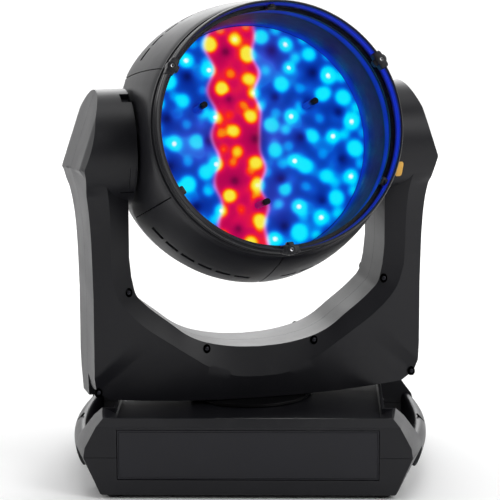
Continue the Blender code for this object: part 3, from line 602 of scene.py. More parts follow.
bezel = {
    "section": [(149.9, 158.3), (150.6, 158.55), (151.5, 157.7), (152.6, 154.6), (153.1, 151.2),
                (152.3, 150.6), (152.3, 149.6), (153.3, 149.0), (153.4, 138.0), (152.2, 137.2),
                (152.2, 134.8), (153.4, 134.0), (153.5, 130.2), (151.0, 129.6), (151.0, 127.8),
                (155.2, 127.2), (155.6, 126.4), (155.6, 121.2), (147.2, 121.2), (147.2, 128.6),
                (144.0, 130.2), (143.3, 131.2), (143.3, 133.4), (143.9, 134.0), (148.0, 134.1),
                (148.4, 135.0), (148.4, 146.0), (149.3, 147.0), (149.3, 157.2)],
    "ears": (30, 150, 270), "clips": (90, 210, 330), "earRadius": 150.4,
    # blocks of ears and clips: half sizes, squareness, shift from their radius, radius
    "earBlocks": [((5.6, 11.5, 8.2), 5, (-0.6, 0, 151.0), 150.4),
                  ((4.4, 4.6, 6.0), 4, (-5.4, 0, 149.5), 150.4)],
    "clipBlocks": [((4.6, 5.4, 3.4), 6, (0, 0, 142.4), 146.2), ((2.2, 3.0, 3.6), 5, (0, 0, 146.6), 147.4)],
    "boss": [(0, 157.6), (2.7, 157.6), (2.7, 159.7), (5.2, 159.85), (6.2, 159.3), (6.4, 157.0), (6.4, 143.6),
             (0, 143.6)],
    "screw": [(0, 158.4), (1.1, 158.4), (1.3, 159.6), (2.2, 159.8), (2.5, 159.2), (2.55, 157.7), (0, 157.7)],
    # the painted glow on the bezel's inner lip, standing in for the LED light on it: its colour, and the
    # heights and radii that it covers
    "wash": "#0624bc", "glowHeights": (136.0, 156.0), "glowRadii": (148.2, 149.6),
}
brightSide = 0.3   # the painted glow on the well and the bezel's lip is strongest at this angle round the lens axis, in radians


def makeBezel():
    # the section is carried round; an ear is a soft block with a round boss, a clip a small tapered block
    patches = [ringPatch(bezel["section"], 180)]
    for angle in bezel["ears"]:
        for size, power, shift, radius in bezel["earBlocks"]:
            patches.append(along(angle, moved(superBlock(size, power), shift), radius))
        patches.append(along(angle, solidPatch(bezel["boss"], 32), bezel["earRadius"]))
    for angle in bezel["clips"]:
        for size, power, shift, radius in bezel["clipBlocks"]:
            patches.append(along(angle, moved(superBlock(size, power), shift), radius))
    material = mouldedPlastic("moulded bezel ABS", housingLook)
    addPaintedGlow(material, bezel["wash"])
    piece = makePiece("front_bezel", patches, fromHead, "head", material, ("front_ring",),
                      bevel=0.35, bevelAngle=35)
    # painted light: the inner lip between these heights and radii glows blue, most at the bright side
    x, y, height = toHead(pointsOf(piece))
    radius = np.hypot(x, y)
    low, high = bezel["glowHeights"]
    near, far = bezel["glowRadii"]
    lit = (height > low) & (height < high) & (radius > near) & (radius < far)
    setShare(piece, "wash", lit * np.clip(0.35 + 0.65 * np.cos(np.arctan2(y, x) - brightSide), 0, 1))
    screws = [along(angle, solidPatch(bezel["screw"], 24), bezel["earRadius"]) for angle in bezel["ears"]]
    makePiece("bezel_screws", screws, fromHead, "head", steel)


makeBezel()


wellLining = {
    "inner": 146.9, "outer": 148.9, "back": 13.2, "front": 120.4,   # mm
    # strength of the painted glow, and how many ribs make it rise and fall round the tube
    "power": 1.0, "ribs": 24,
    # colours of the painted glow at heights along the lens axis, in mm
    "stops": [(13, "#0c36c8"), (24, "#0a24a4"), (40, "#0c0c60"), (62, "#1a0640"), (92, "#160430"),
              (97, "#020208"), (101, "#031c94"), (113, "#0626b4"), (117, "#02041c"), (121, "#000004")],
}


def paintedGlowLining():
    # dull black tube that glows by itself, painted light of the LEDs beside it: blue deep down, plum half
    # way, a blue band near the front
    material, tree, shader = newMaterial("lining with painted LED glow")
    light = addNode(tree, "ShaderNodeAttribute", {"attribute_name": "wash"})
    place = addNode(tree, "ShaderNodeTexCoord").outputs["Object"]
    cloud = addNode(tree, "ShaderNodeTexNoise", links={"Vector": place, "Scale": 60.0, "Detail": 3.0})
    rough = addNode(tree, "ShaderNodeMapRange", links={"Value": cloud.outputs["Fac"], "To Min": 0.5,
                                                       "To Max": 0.75})
    tree.links.new(light.outputs["Color"], shader.inputs["Emission Color"])
    tree.links.new(rough.outputs["Result"], shader.inputs["Roughness"])
    shader.inputs["Base Color"].default_value = linearColour("#020203")
    shader.inputs["Emission Strength"].default_value = wellLining["power"]
    return material


def makeLining():
    # a tube from the board to the bezel; its painted glow blends between the stops, stronger at the bright
    # side; only its inside glows
    inner, outer, back, front = [wellLining[key] for key in ("inner", "outer", "back", "front")]
    heights = np.concatenate([[front], np.linspace(front - 2.4, back, 60)])
    section = [(outer, back), (outer, front)] + [(inner, h) for h in heights]
    piece = makePiece("well_lining", [ringPatch(section, 180)], fromHead, "head", paintedGlowLining(),
                      ("well_liner",), sharp=40)
    x, y, height = toHead(pointsOf(piece))
    turn = np.arctan2(y, x)
    power = (0.72 + 0.28 * np.cos(turn - brightSide)) * (0.92 + 0.08 * np.cos(wellLining["ribs"] * turn))
    inside = np.hypot(x, y) < (inner + outer) / 2
    setColour(piece, "wash", colourStops(height, wellLining["stops"]) * (inside * power)[:, None])


makeLining()

zoomScrew = {
    "circle": 82.0, "angles": (30, 150, 270), "foot": 14.4, "end": 64.0, "radius": 3.95, "depth": 0.5,
    "pitch": 4.0,
    # painted light: below this height each rod glows in the colour of the LED light beside it, fading in over
    # a few mm
    "lit": 56.0, "fade": 14.0, "wash": ("#0a3cb4", "#0e30a8", "#8c0a58"),
}


def makeZoomScrews():
    # black threaded rods: radius = outer - depth * square of a wave that winds up a helix; plain ends
    look = dict(liningLook, dark="#040410", light="#080818", worn="#141430", rough=(0.6, 0.7))
    z = np.linspace(zoomScrew["foot"], zoomScrew["end"], 150)[:, None]
    a = np.linspace(0, 2 * math.pi, 28, endpoint=False)[None, :]
    wave = 0.5 + 0.5 * np.cos(2 * math.pi * z / zoomScrew["pitch"] - a)
    ease = np.clip(np.minimum(z - zoomScrew["foot"], zoomScrew["end"] - z) / 2.0, 0, 1)
    r = zoomScrew["radius"] - zoomScrew["depth"] * wave ** 2 * ease
    rod = withEnds(np.stack([r * np.cos(a), r * np.sin(a), z * np.ones_like(a)], -1))
    for k, angle in enumerate(zoomScrew["angles"]):
        t = math.radians(angle)
        middle = np.array([zoomScrew["circle"] * math.cos(t), zoomScrew["circle"] * math.sin(t), 0])
        material = mouldedPlastic("black dipped thread %d" % (k + 1), look)
        # painted light: the rod glows in the colour of the LED light beside it
        addPaintedGlow(material, zoomScrew["wash"][k])
        body = "zoom_screw_%d" % (k + 1)
        piece = makePiece("zoom_thread_%d" % (k + 1), [(rod + middle, True, None)], fromHead, body,
                          material, (body,), sharp=50)
        height = toHead(pointsOf(piece))[2]
        setShare(piece, "wash", np.clip((zoomScrew["lit"] - height) / zoomScrew["fade"], 0, 1))


makeZoomScrews()
print("front of the head made")

drum = {
    # half width over the flattened sides, and how firmly they end the circle
    "flat": 157.0, "squareness": 46.0,
    "seam": 0.21,       # degrees free at each end of a cover
    "wall": 2.4, "edge": 0.5,
    "profile": [(-9.0, 176.6), (12.0, 175.8), (45.0, 172.0), (85.0, 165.2), (116.0, 157.9), (120.4, 154.6)],
    "names": ["upper_right", "upper_left", "left", "lower_left", "lower_right", "right"],
    "slots": (6, 10.0, 8.0, 3.2),   # how many, first angle past the seam, spacing, half length, in degrees
    "slotHeights": (24.0, 32.0),
}


def flattened(radius, angle):  # a circle whose sides give way softly to two flats
    limit = drum["flat"] / (np.abs(np.cos(angle)) + 1e-6)
    power = drum["squareness"]
    return (radius ** -power + limit ** -power) ** (-1 / power)


def coverRows(extra):  # heights along the profile, with the extra ones, and the radius at each
    p = roundCorners(drum["profile"])
    evenly = np.linspace(p[0, 0], p[-1, 0], 26)
    heights = np.unique(np.round(np.concatenate([evenly, np.asarray(extra, float)]), 4))
    return heights, np.interp(heights, p[:, 0], p[:, 1])


def drumGrid(heights, radii, angles):
    a = np.radians(angles)[None, :]
    r = flattened(radii[:, None], a)
    return np.stack([r * np.cos(a), r * np.sin(a), np.repeat(heights[:, None], len(angles), 1)], -1)


def slotMask(heights, angles, start):  # false on the faces of a cover's grid that lie in one of its slots
    count, first, pitch, half = drum["slots"]
    turn = (angles[1:] + angles[:-1]) / 2 - start - first
    height = (heights[1:] + heights[:-1]) / 2
    near = np.abs(turn - pitch * np.round(turn / pitch)) < half
    near &= (turn > -pitch / 2) & (turn < pitch * (count - 0.5))
    low, high = drum["slotHeights"]
    return ~(((height > low) & (height < high))[:, None] & near[None, :])


def makeCovers():
    # six sheets, one for each sixth of the turn; all but the two beside the hubs have a row of slots
    count, first, pitch, half = drum["slots"]
    for k, side in enumerate(drum["names"]):
        start = 30.0 + 60.0 * k
        plain = side in ("left", "right")
        ends = [] if plain else [start + first + pitch * j + e for j in range(count) for e in (-half, half)]
        evenly = np.linspace(start + drum["seam"], start + 60.0 - drum["seam"], 49)
        angles = np.unique(np.round(np.concatenate([evenly, ends]), 4))
        heights, radii = coverRows(() if plain else drum["slotHeights"])
        keep = None if plain else slotMask(heights, angles, start)
        makePiece("cover_" + side, [(drumGrid(heights, radii, angles), False, keep)], fromHead, "head",
                  housing, ("head_cover_" + side,), wall=drum["wall"], bevel=drum["edge"],
                  bevelAngle=40, awayFrom=fromHead((0, 0, 0)))


makeCovers()

rearCover = {
    "profile": [(-9.8, 175.2), (-45.0, 170.5), (-90.0, 158.0), (-122.0, 138.0), (-140.0, 108.0),
                (-143.0, 72.0), (-143.0, 56.0)],
    # a thin groove round the cover: its place along the lens axis and depth, mm
    "groove": -40.0, "sink": 1.1,
    "flatFrom": -142.9,             # behind this the profile is the flat rear face
    "middle": (0, 0, -20.0),
}


def makeRearCover():
    # the cup behind the covers; the profile's corners are eased and a thin groove runs round it
    p = roundCorners(rearCover["profile"], 3)
    groove = rearCover["groove"]
    flat = p[p[:, 0] <= rearCover["flatFrom"]][::-1]
    curved = p[p[:, 0] > rearCover["flatFrom"]]
    heights = np.sort(np.concatenate([curved[:, 0], groove + np.array([-1.2, -0.9, 0.9, 1.2])]))
    radii = np.interp(-heights, -p[:, 0], p[:, 1]) - rearCover["sink"] * (np.abs(heights - groove) < 1.0)
    grid = drumGrid(np.concatenate([flat[:, 0], heights]), np.concatenate([flat[:, 1], radii]),
                    np.linspace(0, 360, 144, endpoint=False))
    makePiece("rear_cover", [(grid, True, None)], fromHead, "head", housing, ("head_rear_cover",),
              wall=drum["wall"], bevel=drum["edge"], bevelAngle=40, awayFrom=fromHead(rearCover["middle"]))


makeRearCover()


fan = {
    "plane": -143.4, "wire": 1.1, "wireRings": (14.0, 24.5, 35.0, 45.5),   # along the lens axis; radii, mm
    "rim": [(55.6, -140.9), (55.6, -144.6), (54.6, -145.4), (50.0, -145.4), (49.2, -144.6), (49.2, -141.0)],
    "spokes": 6, "firstSpoke": 17, "spokeRadii": (13.0, 50.5), "spokePlane": -142.9, "spokeWire": 1.2,
    "cap": (9.5, 9.5, 1.2),
    "hub": [(0, -38.4), (13.6, -38.4), (14.8, -39.4), (14.8, -54.6), (13.4, -55.8), (0, -55.8)],
    "blades": 7, "bladeRadii": (13.5, 40.5), "bladePlane": -47.0, "bladeHalf": 0.8,
    "lean": (38.0, 14.0),   # degrees at the root, and how many less at the tip
}


def makeFanGuard():
    # wire rings on radial wires, in a turned rim
    parts = []
    for radius in fan["wireRings"]:
        turns = np.linspace(0, 5.5, 8)
        wire = [(radius + fan["wire"] * math.cos(t), fan["plane"] + fan["wire"] * math.sin(t)) for t in turns]
        parts.append(ringPatch(wire, 64))
    parts.append(ringPatch(fan["rim"], 96))
    near, far = fan["spokeRadii"]
    for k in range(fan["spokes"]):
        a = math.radians(360 / fan["spokes"] * k + fan["firstSpoke"])
        way = np.array([math.cos(a), math.sin(a), 0])
        plane = np.array([0, 0, fan["spokePlane"]])
        parts.append(rodPatch(near * way + plane, far * way + plane, fan["spokeWire"]))
    parts.append(moved(superBlock(fan["cap"], 2.4), (0, 0, fan["plane"])))
    makePiece("fan_finger_guard", parts, fromHead, "head", blackBolt, ("fan_guard",), sharp=40)


def bladePatch():
    # a thin blade along x: with the radius its half chord grows and its lean falls; its skin swells
    near, far = fan["bladeRadii"]
    r = np.linspace(near, far, 12)[:, None]
    w = np.concatenate([np.linspace(-1, 1, 9), np.linspace(1, -1, 9)])[None, :]
    side = fan["bladeHalf"] * np.repeat([1.0, -1.0], 9)[None, :] * (1 - 0.55 * w ** 2)
    lean = np.radians(fan["lean"][0] - fan["lean"][1] * (r - near) / (far - near))
    chord = 8.2 + 2.5 * np.sin(math.pi * (r - near) / 36)
    y = w * chord * np.cos(lean) - side * np.sin(lean) + 0.12 * (r - near)
    z = fan["bladePlane"] + w * chord * np.sin(lean) * 0.86 + side * np.cos(lean)
    return (np.stack([np.sqrt(np.maximum(r ** 2 - y ** 2, 1.0)), y, z], -1), True, None)


def makeFanBlades():
    # a turned hub with twisted blades
    blades = [along(360 / fan["blades"] * k, bladePatch()) for k in range(fan["blades"])]
    makePiece("fan_blades", [solidPatch(fan["hub"], 40)] + blades, fromHead, "fan_rotor", trim,
              ("fan_rotor",), sharp=40)


makeFanGuard()
makeFanBlades()
print("head covers made")

yoke = {
    "hubRadius": 73.0, "hubFace": 160.6, "armInner": 166.0, "armWidth": 212.5,   # mm
    "cornerWidth": 230.5, "cornerHeight": 388.5, "cornerSlant": 0.09, "endLean": 0.337,
    "slantFade": 60.0, "hollowFade": 42.0,
    "parting": 0.2, "cornerEase": 0.3, "easeFrom": 58.0,   # the corner draws in a little beyond this depth
    # the arm widens upwards into the hub, from this drop below the axis
    "flareFrom": 17.0, "flareFade": 26.0,
    # plain, and added by flare
    "edgeDepth": (45.0, 25.5), "crestWidth": (190.5, 16.0), "crestDepth": (50.0, 28.0),
    "innerDepth": 41.0, "tip": (190.0, 0.2, 391.0),
    # stations round the bottom: outer point, its depth, crest, inner edge
    "fan": [((212.5, 230), 45, (189.5, 255), (163.5, 255)), ((212.5, 185), 45, (181, 228), (158, 233)),
            ((212.5, 150), 45, (167, 209), (148, 221)), ((212, 127), 43, (148, 191.5), (134, 208.5)),
            ((208.4, 110.7), 36, (128, 177), (115, 194)), ((192, 99.3), 36, (111, 165.5), (95, 178.5)),
            ((150, 96.3), 41, (88, 150), (75, 168.5)), ((100, 93.5), 44, (62, 134), (52, 162.3)),
            ((50, 91.9), 44, (32, 123), (28, 158.7)), ((0, 91.3), 44, (0, 120.5), (0, 157.3))],
    "rearCorner": {4: (211.0, 98.4), 5: (192.0, 97.6)},
    "edge": 0.9, "edgeAngle": 24,
}


def hubDepth(drop):  # half depth of the round hub at a drop below its middle
    return np.sqrt(np.maximum(yoke["hubRadius"] ** 2 - np.asarray(drop, float) ** 2, 1.0))


def cornerLine(y):
    return yoke["cornerHeight"] - yoke["cornerSlant"] * y


def armOutside(z, y):  # slanted above the corner line, a hollow curve easing to the arm's width below it
    below = np.maximum(cornerLine(y) - z, 0)
    above = np.maximum(z - cornerLine(y), 0)
    corner = yoke["cornerWidth"] - yoke["cornerEase"] * np.maximum(np.abs(y) - yoke["easeFrom"], 0)
    hollow = yoke["armWidth"] + (corner - yoke["armWidth"]) * np.exp(-below / yoke["hollowFade"])
    return np.where(above > 0, corner - yoke["endLean"] * above, hollow)


def flareAt(dip):  # dies away with the drop below the tilt axis
    return np.exp(-(dip - yoke["flareFrom"]) / yoke["flareFade"])


def sectionRows(*corners):  # corners given as (x, y, z) arrays along the arm, as one grid of sections
    return np.stack([np.stack(corner, -1) for corner in corners], 1)


def armSections(drop, half):
    # corners of the arm at drops below the corner line: side, outer edge, crest, inner edge, parting
    edgePlain, edgeAdded = yoke["edgeDepth"]
    edge = np.full_like(drop, 60.0)
    for turn in range(6):  # the outer edge's height and depth hang on each other; a few turns settle them
        lift = yoke["cornerSlant"] * half * edge * np.exp(-drop / yoke["slantFade"])
        z = yoke["cornerHeight"] - lift - drop
        dip = restPose["axisHeight"] - z
        edge = np.maximum(hubDepth(dip), edgePlain + edgeAdded * flareAt(dip))
    flat = yoke["cornerHeight"] - drop
    dip = restPose["axisHeight"] - flat
    crestX = yoke["crestWidth"][0] + yoke["crestWidth"][1] * flareAt(dip)
    crestY = yoke["crestDepth"][0] + yoke["crestDepth"][1] * flareAt(dip)
    crestY = np.where(dip < 32, np.minimum(crestY, hubDepth(dip) - 0.5), crestY)
    parting = np.full_like(drop, yoke["parting"])
    inner = np.full_like(drop, yoke["armInner"])
    return sectionRows((armOutside(flat, 0 * drop), parting, flat), (armOutside(z, half * edge), edge, z),
                       (crestX, crestY, flat), (inner, np.full_like(drop, yoke["innerDepth"]), flat),
                       (inner, parting, flat))


def smoothPath(points, steps):  # through every point: a cubic between each two, bent by their neighbours
    p = np.asarray(points, float)
    q = np.concatenate([[2 * p[0] - p[1]], p, [2 * p[-1] - p[-2]]])
    t = np.linspace(0, 1, steps, endpoint=False)[:, None]
    parts = []
    for k in range(len(p) - 1):
        a, b, c, d = q[k:k + 4]
        square, cube = 2 * a - 5 * b + 4 * c - d, 3 * b - a - 3 * c + d
        parts.append(0.5 * (2 * b + (c - a) * t + square * t ** 2 + cube * t ** 3))
    return np.concatenate(parts + [p[-1:]])


def straightPath(points, steps):
    p = np.asarray(points, float)
    t = np.linspace(0, 1, steps, endpoint=False)[:, None]
    return np.concatenate([p[k] + (p[k + 1] - p[k]) * t for k in range(len(p) - 1)] + [p[-1:]])


def fanSections(half, steps=6):  # the same corners at stations round the bottom, arm to middle
    outer = [station[0] for station in yoke["fan"]]
    if half > 0:
        for k, place in yoke["rearCorner"].items():
            outer[k] = place
    out = straightPath(outer, steps)
    depth = straightPath([[station[1]] for station in yoke["fan"]], steps)[:, 0]
    crest = smoothPath([station[2] for station in yoke["fan"]], steps)
    inner = smoothPath([station[3] for station in yoke["fan"]], steps)
    parting = np.full(len(out), yoke["parting"])
    crestDepth = np.full(len(out), yoke["crestDepth"][0])
    innerDepth = np.full(len(out), yoke["innerDepth"])
    return sectionRows((out[:, 0], parting, out[:, 1]), (out[:, 0], depth, out[:, 1]),
                       (crest[:, 0], crestDepth, crest[:, 1]), (inner[:, 0], innerDepth, inner[:, 1]),
                       (inner[:, 0], parting, inner[:, 1]))


def divided(sections, counts):  # adds points along each side of every section
    corners = sections.shape[1]
    parts = []
    for k, count in enumerate(counts):
        t = np.linspace(0, 1, count, endpoint=False)[None, :, None]
        n = (k + 1) % corners
        a, b = sections[:, k:k + 1], sections[:, n:n + 1]
        parts.append(a + (b - a) * t)
    return np.concatenate(parts, 1)


def yokeHalf(half):
    # one cover: sections from the left arm's top round the bottom to the right's, drawn to a tip at each
    drops = np.concatenate([np.linspace(0, 60, 25), np.linspace(64, 108.5, 9)])
    right = np.concatenate([armSections(drops, half), fanSections(half)])
    left = right * [-1, 1, 1]
    grid = divided(np.concatenate([left, right[:-1][::-1]]), (5, 5, 6, 4, 1))
    tip = np.array(yoke["tip"])
    first, last = [np.repeat((tip * [side, 1, 1])[None, None], grid.shape[1], 1) for side in (-1, 1)]
    return (np.concatenate([first, grid, last]) * [1, half, 1], True, None)


hubDetail = {
    # pockets in the hubs' skins: x from and to, degrees below level from and to, depth in mm
    "panel": (161.6, 179.0, 12.0, 42.0, 1.6),    # left hub
    "notch": (160.6, 172.5, -72.0, -57.0, 7.0),  # left hub's top inner corner
    "latch": (166.0, 181.4, 18.6, 33.4, 2.2),    # right hub: the yellow catch lies in it
    "groove": (168.6, 170.0, 0.9),               # x from and to, and depth; it crosses the panel
    "farX": 184.0, "endSink": 9.0,               # the end face sinks a little below the corner line
}


def pocket(x, angle, box):  # the box's depth inside it, nought outside
    x0, x1, a0, a1, depth = box
    return depth * ((x > x0) & (x < x1) & (angle > a0) & (angle < a1))


def hubSkin(boxes, groove, half):
    # half a round skin carried along x: double lines of points stand where the walls of a pocket do
    angles = list(np.linspace(-90, 90, 61))
    lines = [yoke["hubFace"]]
    for x0, x1, a0, a1, depth in boxes:
        angles += [a0 - 0.05, a0 + 0.3, a1 - 0.3, a1 + 0.05]
        lines += [x0 - 0.05, x0 + 0.25, x1 - 0.25, x1 + 0.05]
    if groove:
        g0, g1, sink = groove
        lines += [g0, g0 + 0.3, g1 - 0.3, g1]
    angles = np.unique(np.round(angles, 3))
    lines = np.unique(np.round(np.clip(lines, yoke["hubFace"], hubDetail["farX"]), 3))
    theta = np.radians(angles)
    y, z = yoke["hubRadius"] * np.cos(theta), -yoke["hubRadius"] * np.sin(theta)
    end = armOutside(z + restPose["axisHeight"], half * y)
    near = np.repeat(lines[:, None], len(theta), 1)
    far = hubDetail["farX"] + (end - hubDetail["farX"]) * np.linspace(0, 1, 7)[1:, None]
    x = np.concatenate([near, far])
    deep = np.zeros_like(x)
    for box in boxes:
        deep = np.maximum(deep, pocket(x, np.repeat(angles[None], len(x), 0), box))
    if groove:
        low, high = hubDetail["panel"][2:4]
        deep += sink * ((x > g0 + 0.1) & (x < g1 - 0.1) & (angles > low + 1.5) & (angles < high - 1.5))
    radius = yoke["hubRadius"] - deep
    return np.stack([x, radius * np.cos(theta), -radius * np.sin(theta)], -1), y, z


def hubHalf(side, half):
    # half a hub: its inner face, its skin with pockets, and its end face on the arm's slanted outside
    boxes, groove = [], None
    if half < 0 and side < 0:
        boxes, groove = [hubDetail["panel"], hubDetail["notch"]], hubDetail["groove"]
    if half < 0 and side > 0:
        boxes = [hubDetail["latch"]]
    skin, y, z = hubSkin(boxes, groove, half)
    share = np.linspace(1, 0, 26)[:, None]
    capY, capZ = share * y, share * z
    height = capZ + restPose["axisHeight"]
    under = np.clip(cornerLine(half * capY) - height, 0, 30) / 30
    capX = armOutside(height, half * capY) - hubDetail["endSink"] * under * (1 - share ** 8)
    cap = np.stack([capX, capY, capZ], -1)
    face = np.stack([np.full_like(capX, yoke["hubFace"]), capY, capZ], -1)[::-1]
    face[-1] = skin[0]
    grid = np.concatenate([face, skin[1:], cap[1:]])
    grid = (grid + [0, yoke["parting"], restPose["axisHeight"]]) * [side, half, 1]
    flat = np.stack([grid[:, 0], grid[:, -1]], 1)
    return [(grid, False, None), (flat, False, None)]


def makeYoke():
    for name, half in (("front", -1), ("rear", 1)):
        patches = [yokeHalf(half)] + hubHalf(-1, half) + hubHalf(1, half)
        makePiece("yoke_%s_cover" % name, patches, fromYoke, "yoke", housing,
                  ("yoke_%s_shell" % name,), bevel=yoke["edge"], bevelAngle=yoke["edgeAngle"])


makeYoke()

yokeScrews = {
    # x, height and depth of each screw's seat, and how far it leans; both covers have the same
    "seats": [(-167.6, 236.4, 43.0, 0.35), (-68.4, 159.0, 42.6, 0.15), (71.9, 162.0, 42.6, -0.15),
              (164.2, 236.9, 43.0, -0.35), (-206.4, 109.7, 37.2, 0.25), (204.8, 111.5, 37.2, -0.25)],
    "proud": 1.8, "tall": 1.3,
    "cup": [(0, -5.0), (4.4, -5.0), (4.4, 0.9), (4.0, 1.1), (3.6, 0.2), (0, 0.2)],
    "head": [(0, -1.2), (2.6, -1.2), (2.6, 0.5), (2.2, 0.8), (1.3, 0.8), (1.2, 0.3), (0, 0.3)],
}


def makeYokeScrews():
    # deep-set socket screws: a sunk cup painted near-black as shade, with the screw's head at the bottom of
    # it
    grid, wrap, keep = solidPatch(yokeScrews["cup"], 28)
    cup = (grid * [1.0, yokeScrews["tall"], 1.0], wrap, keep)
    cups, heads = [], []
    for half in (-1, 1):
        for x, z, depth, lean in yokeScrews["seats"]:
            place = (x, half * (depth + yokeScrews["proud"]), z)
            out = (lean * 0.3, half, 0.25)
            cups.append(moved(cup, place, out))
            heads.append(moved(solidPatch(yokeScrews["head"], 20), place, out))
    makePiece("yoke_screw_cups", cups, fromYoke, "yoke", paintedShade, sharp=40)
    makePiece("yoke_screws", heads, fromYoke, "yoke", blackBolt, sharp=40)


makeYokeScrews()

tiltCatch = {
    # x; degrees below level; radius; half sizes
    "middle": (176.8, 26.0, 73.2), "size": (4.6, 11.0, 2.6), "sunk": 1.6,
    "lineDepth": 0.18, "lineReach": 5.0,
}


def makeTiltCatch():
    # a rounded pill that stands a little out of its pocket, with faint grip lines
    x, lean, radius = tiltCatch["middle"]
    grid = superBlock(tiltCatch["size"], 4.2, 18, 56)[0]
    lines = (np.cos(grid[..., 1] * 1.9) > 0.93) * (np.abs(grid[..., 1]) < tiltCatch["lineReach"])
    grid[..., 2] -= tiltCatch["lineDepth"] * lines * (grid[..., 2] > 1)
    a = math.radians(lean)
    out = np.array([0, -math.cos(a), -math.sin(a)])
    up = np.array([0, -math.sin(a), math.cos(a)])
    place = grid[..., 0:1] * np.array([1, 0, 0]) + grid[..., 1:2] * up + grid[..., 2:3] * out
    place = place + out * (radius - tiltCatch["sunk"]) + np.array([x, 0, restPose["axisHeight"]])
    makePiece("tilt_catch", [(place, True, None)], fromYoke, "tilt_lock", catchPlastic,
              ("tilt_lock_catch",), sharp=60)


makeTiltCatch()


turntable = {
    "section": [(31.0, 86.7), (76.6, 86.7), (77.6, 87.5), (77.6, 90.0), (76.8, 90.7), (31.0, 90.7)],
}


def makeTurntable():
    # the low round plinth the yoke turns on
    makePiece("pan_turntable", [ringPatch(turntable["section"], 120)], fromYoke, "yoke", trim,
              ("turntable",), sharp=30)


makeTurntable()
print("yoke made")

baseShape = {
    "halfDepth": 170.7, "bulge": 24.0, "bay": 109.0, "deckHalf": 168.0, "panel": (160.35, 19.2, 82.35),
    # height, half width, share of the bulge, setback of front and rear
    "lower": [(0.0, 179.0, 0.8, 1.5), (1.5, 180.9, 0.8, 0.0), (46.75, 201.0, 1.0, 0.0)],
    "upper": [(47.25, 201.0, 1.0, 0.0), (59.5, 199.2, 0.9, 0.0), (85.8, 185.2, 0.5, 0.0),
              (94.8, 177.0, 0.35, 8.2)],
    "lowerRows": (0.0, 1.5, 10.0, 19.2, 28.0, 40.0, 46.75),
    "upperRows": (47.25, 53.0, 59.5, 68.0, 76.0, 82.35, 85.8, 94.8),
    "wall": 2.6, "lowerEdge": 0.8, "upperEdge": 0.9, "edgeAngle": 24,
    # the sunk deck: its height, the rim round it, the step above it and the hole for the turntable
    "deckHeight": 86.0, "rim": 3.2, "step": 2.0, "setIn": 12.0, "hole": 34.0,
}


def sideAt(y, halfWidth, share):  # the side bows out as a parabola of depth
    return halfWidth + baseShape["bulge"] * share * (1 - (y / baseShape["halfDepth"]) ** 2)


def baseLoop(level, inset=0.0):
    # one level of the base in plan: bowed sides, each with a bay for the hand, and straight front and rear
    z, halfWidth, share, setback = level
    depth = baseShape["halfDepth"] - setback - inset
    bay, deck = baseShape["bay"], baseShape["deckHalf"] - inset
    y = np.linspace(-depth, -bay - inset, 9)
    corner = np.stack([sideAt(y, halfWidth, share) - inset, y], -1)
    corner[0, 0] = halfWidth - inset
    inner = np.stack([np.full(9, deck), np.linspace(-bay - inset, bay + inset, 9)], -1)
    wall = np.linspace(corner[-1], inner[0], 4)[1:-1]
    right = np.concatenate([corner, wall, inner, (wall * [1, -1])[::-1], (corner * [1, -1])[::-1]])
    front = baseShape["panel"][0] * np.array([-1.0, -0.5, 0.0, 0.5, 1.0])
    rear = np.stack([front[::-1], np.full(5, depth)], -1)
    left = (right * [-1, 1])[::-1]
    ahead = np.stack([front, np.full(5, -depth)], -1)
    loop = np.concatenate([right, rear, left, ahead])
    return np.concatenate([loop, np.full((len(loop), 1), z)], 1)


def baseLoops(levels, heights):  # loops at more heights, straight between the given levels
    table = np.array(levels, float)
    rows = [[float(np.interp(h, table[:, 0], table[:, k])) for k in (1, 2, 3)] for h in heights]
    return np.stack([baseLoop([h] + row) for h, row in zip(heights, rows)])


def shellMask(grid, low, high):  # leaves the panel's opening free in the front and rear walls
    x = (grid[:-1, :, 0] + grid[1:, :, 0] + np.roll(grid[:-1, :, 0], -1, 1) + np.roll(grid[1:, :, 0], -1,
                                                                                      1)) / 4
    y = (grid[:-1, :, 1] + grid[1:, :, 1]) / 2
    yNext = np.roll(y, -1, 1)
    z = (grid[:-1, :, 2] + grid[1:, :, 2]) / 2
    wall = (np.abs(y) > 160) & (np.abs(yNext) > 160) & (np.abs(x) < baseShape["panel"][0])
    return ~(wall & (z > low) & (z < high))


def makeLowerShell():
    # the loops of the lower levels on a flat underside, open in front and behind for the panels
    low = baseShape["panel"][1]
    grid = baseLoops(baseShape["lower"], baseShape["lowerRows"])
    full = np.concatenate([(grid[0] * [0, 0, 1])[None], (grid[0] * [0.9, 0.85, 1])[None], grid])
    makePiece("base_lower_cover", [(full, True, shellMask(full, low, 100))], fromBase, "base",
              housing, ("base_lower_shell",), wall=baseShape["wall"], bevel=baseShape["lowerEdge"],
              bevelAngle=baseShape["edgeAngle"], awayFrom=(0, 0, 0.04))


def makeUpperShell():
    # the loops of the upper levels, then a rim, a step down to the deck, and the deck in to its round hole
    high = baseShape["panel"][2]
    grid = baseLoops(baseShape["upper"], baseShape["upperRows"])
    top = baseShape["upper"][-1]
    rim = baseLoop(top, baseShape["rim"])
    wide = baseShape["deckHalf"] - baseShape["rim"]
    deep = baseShape["halfDepth"] - top[3] - baseShape["setIn"]
    rows = []
    for inset, rise in ((0, baseShape["step"]), (2, 0.0)):
        reach = np.array([wide - inset, deep - inset, 200])
        rows.append(np.clip(rim, reach * [-1, -1, 0], reach) * [1, 1, 0] + [0, 0,
                                                                            baseShape["deckHeight"] + rise])
    deck = rows[-1]
    angle = np.arctan2(deck[:, 1], deck[:, 0])
    hole = np.stack([baseShape["hole"] * np.cos(angle), baseShape["hole"] * np.sin(angle), deck[:, 2]], -1)
    full = np.concatenate([grid, np.stack([rim] + rows + [hole])])
    makePiece("base_upper_cover", [(full, True, shellMask(full, 40, high))], fromBase, "base",
              housing, ("base_upper_shell",), wall=baseShape["wall"], bevel=baseShape["upperEdge"],
              bevelAngle=baseShape["edgeAngle"], awayFrom=(0, 0, 0.02))


makeLowerShell()
makeUpperShell()


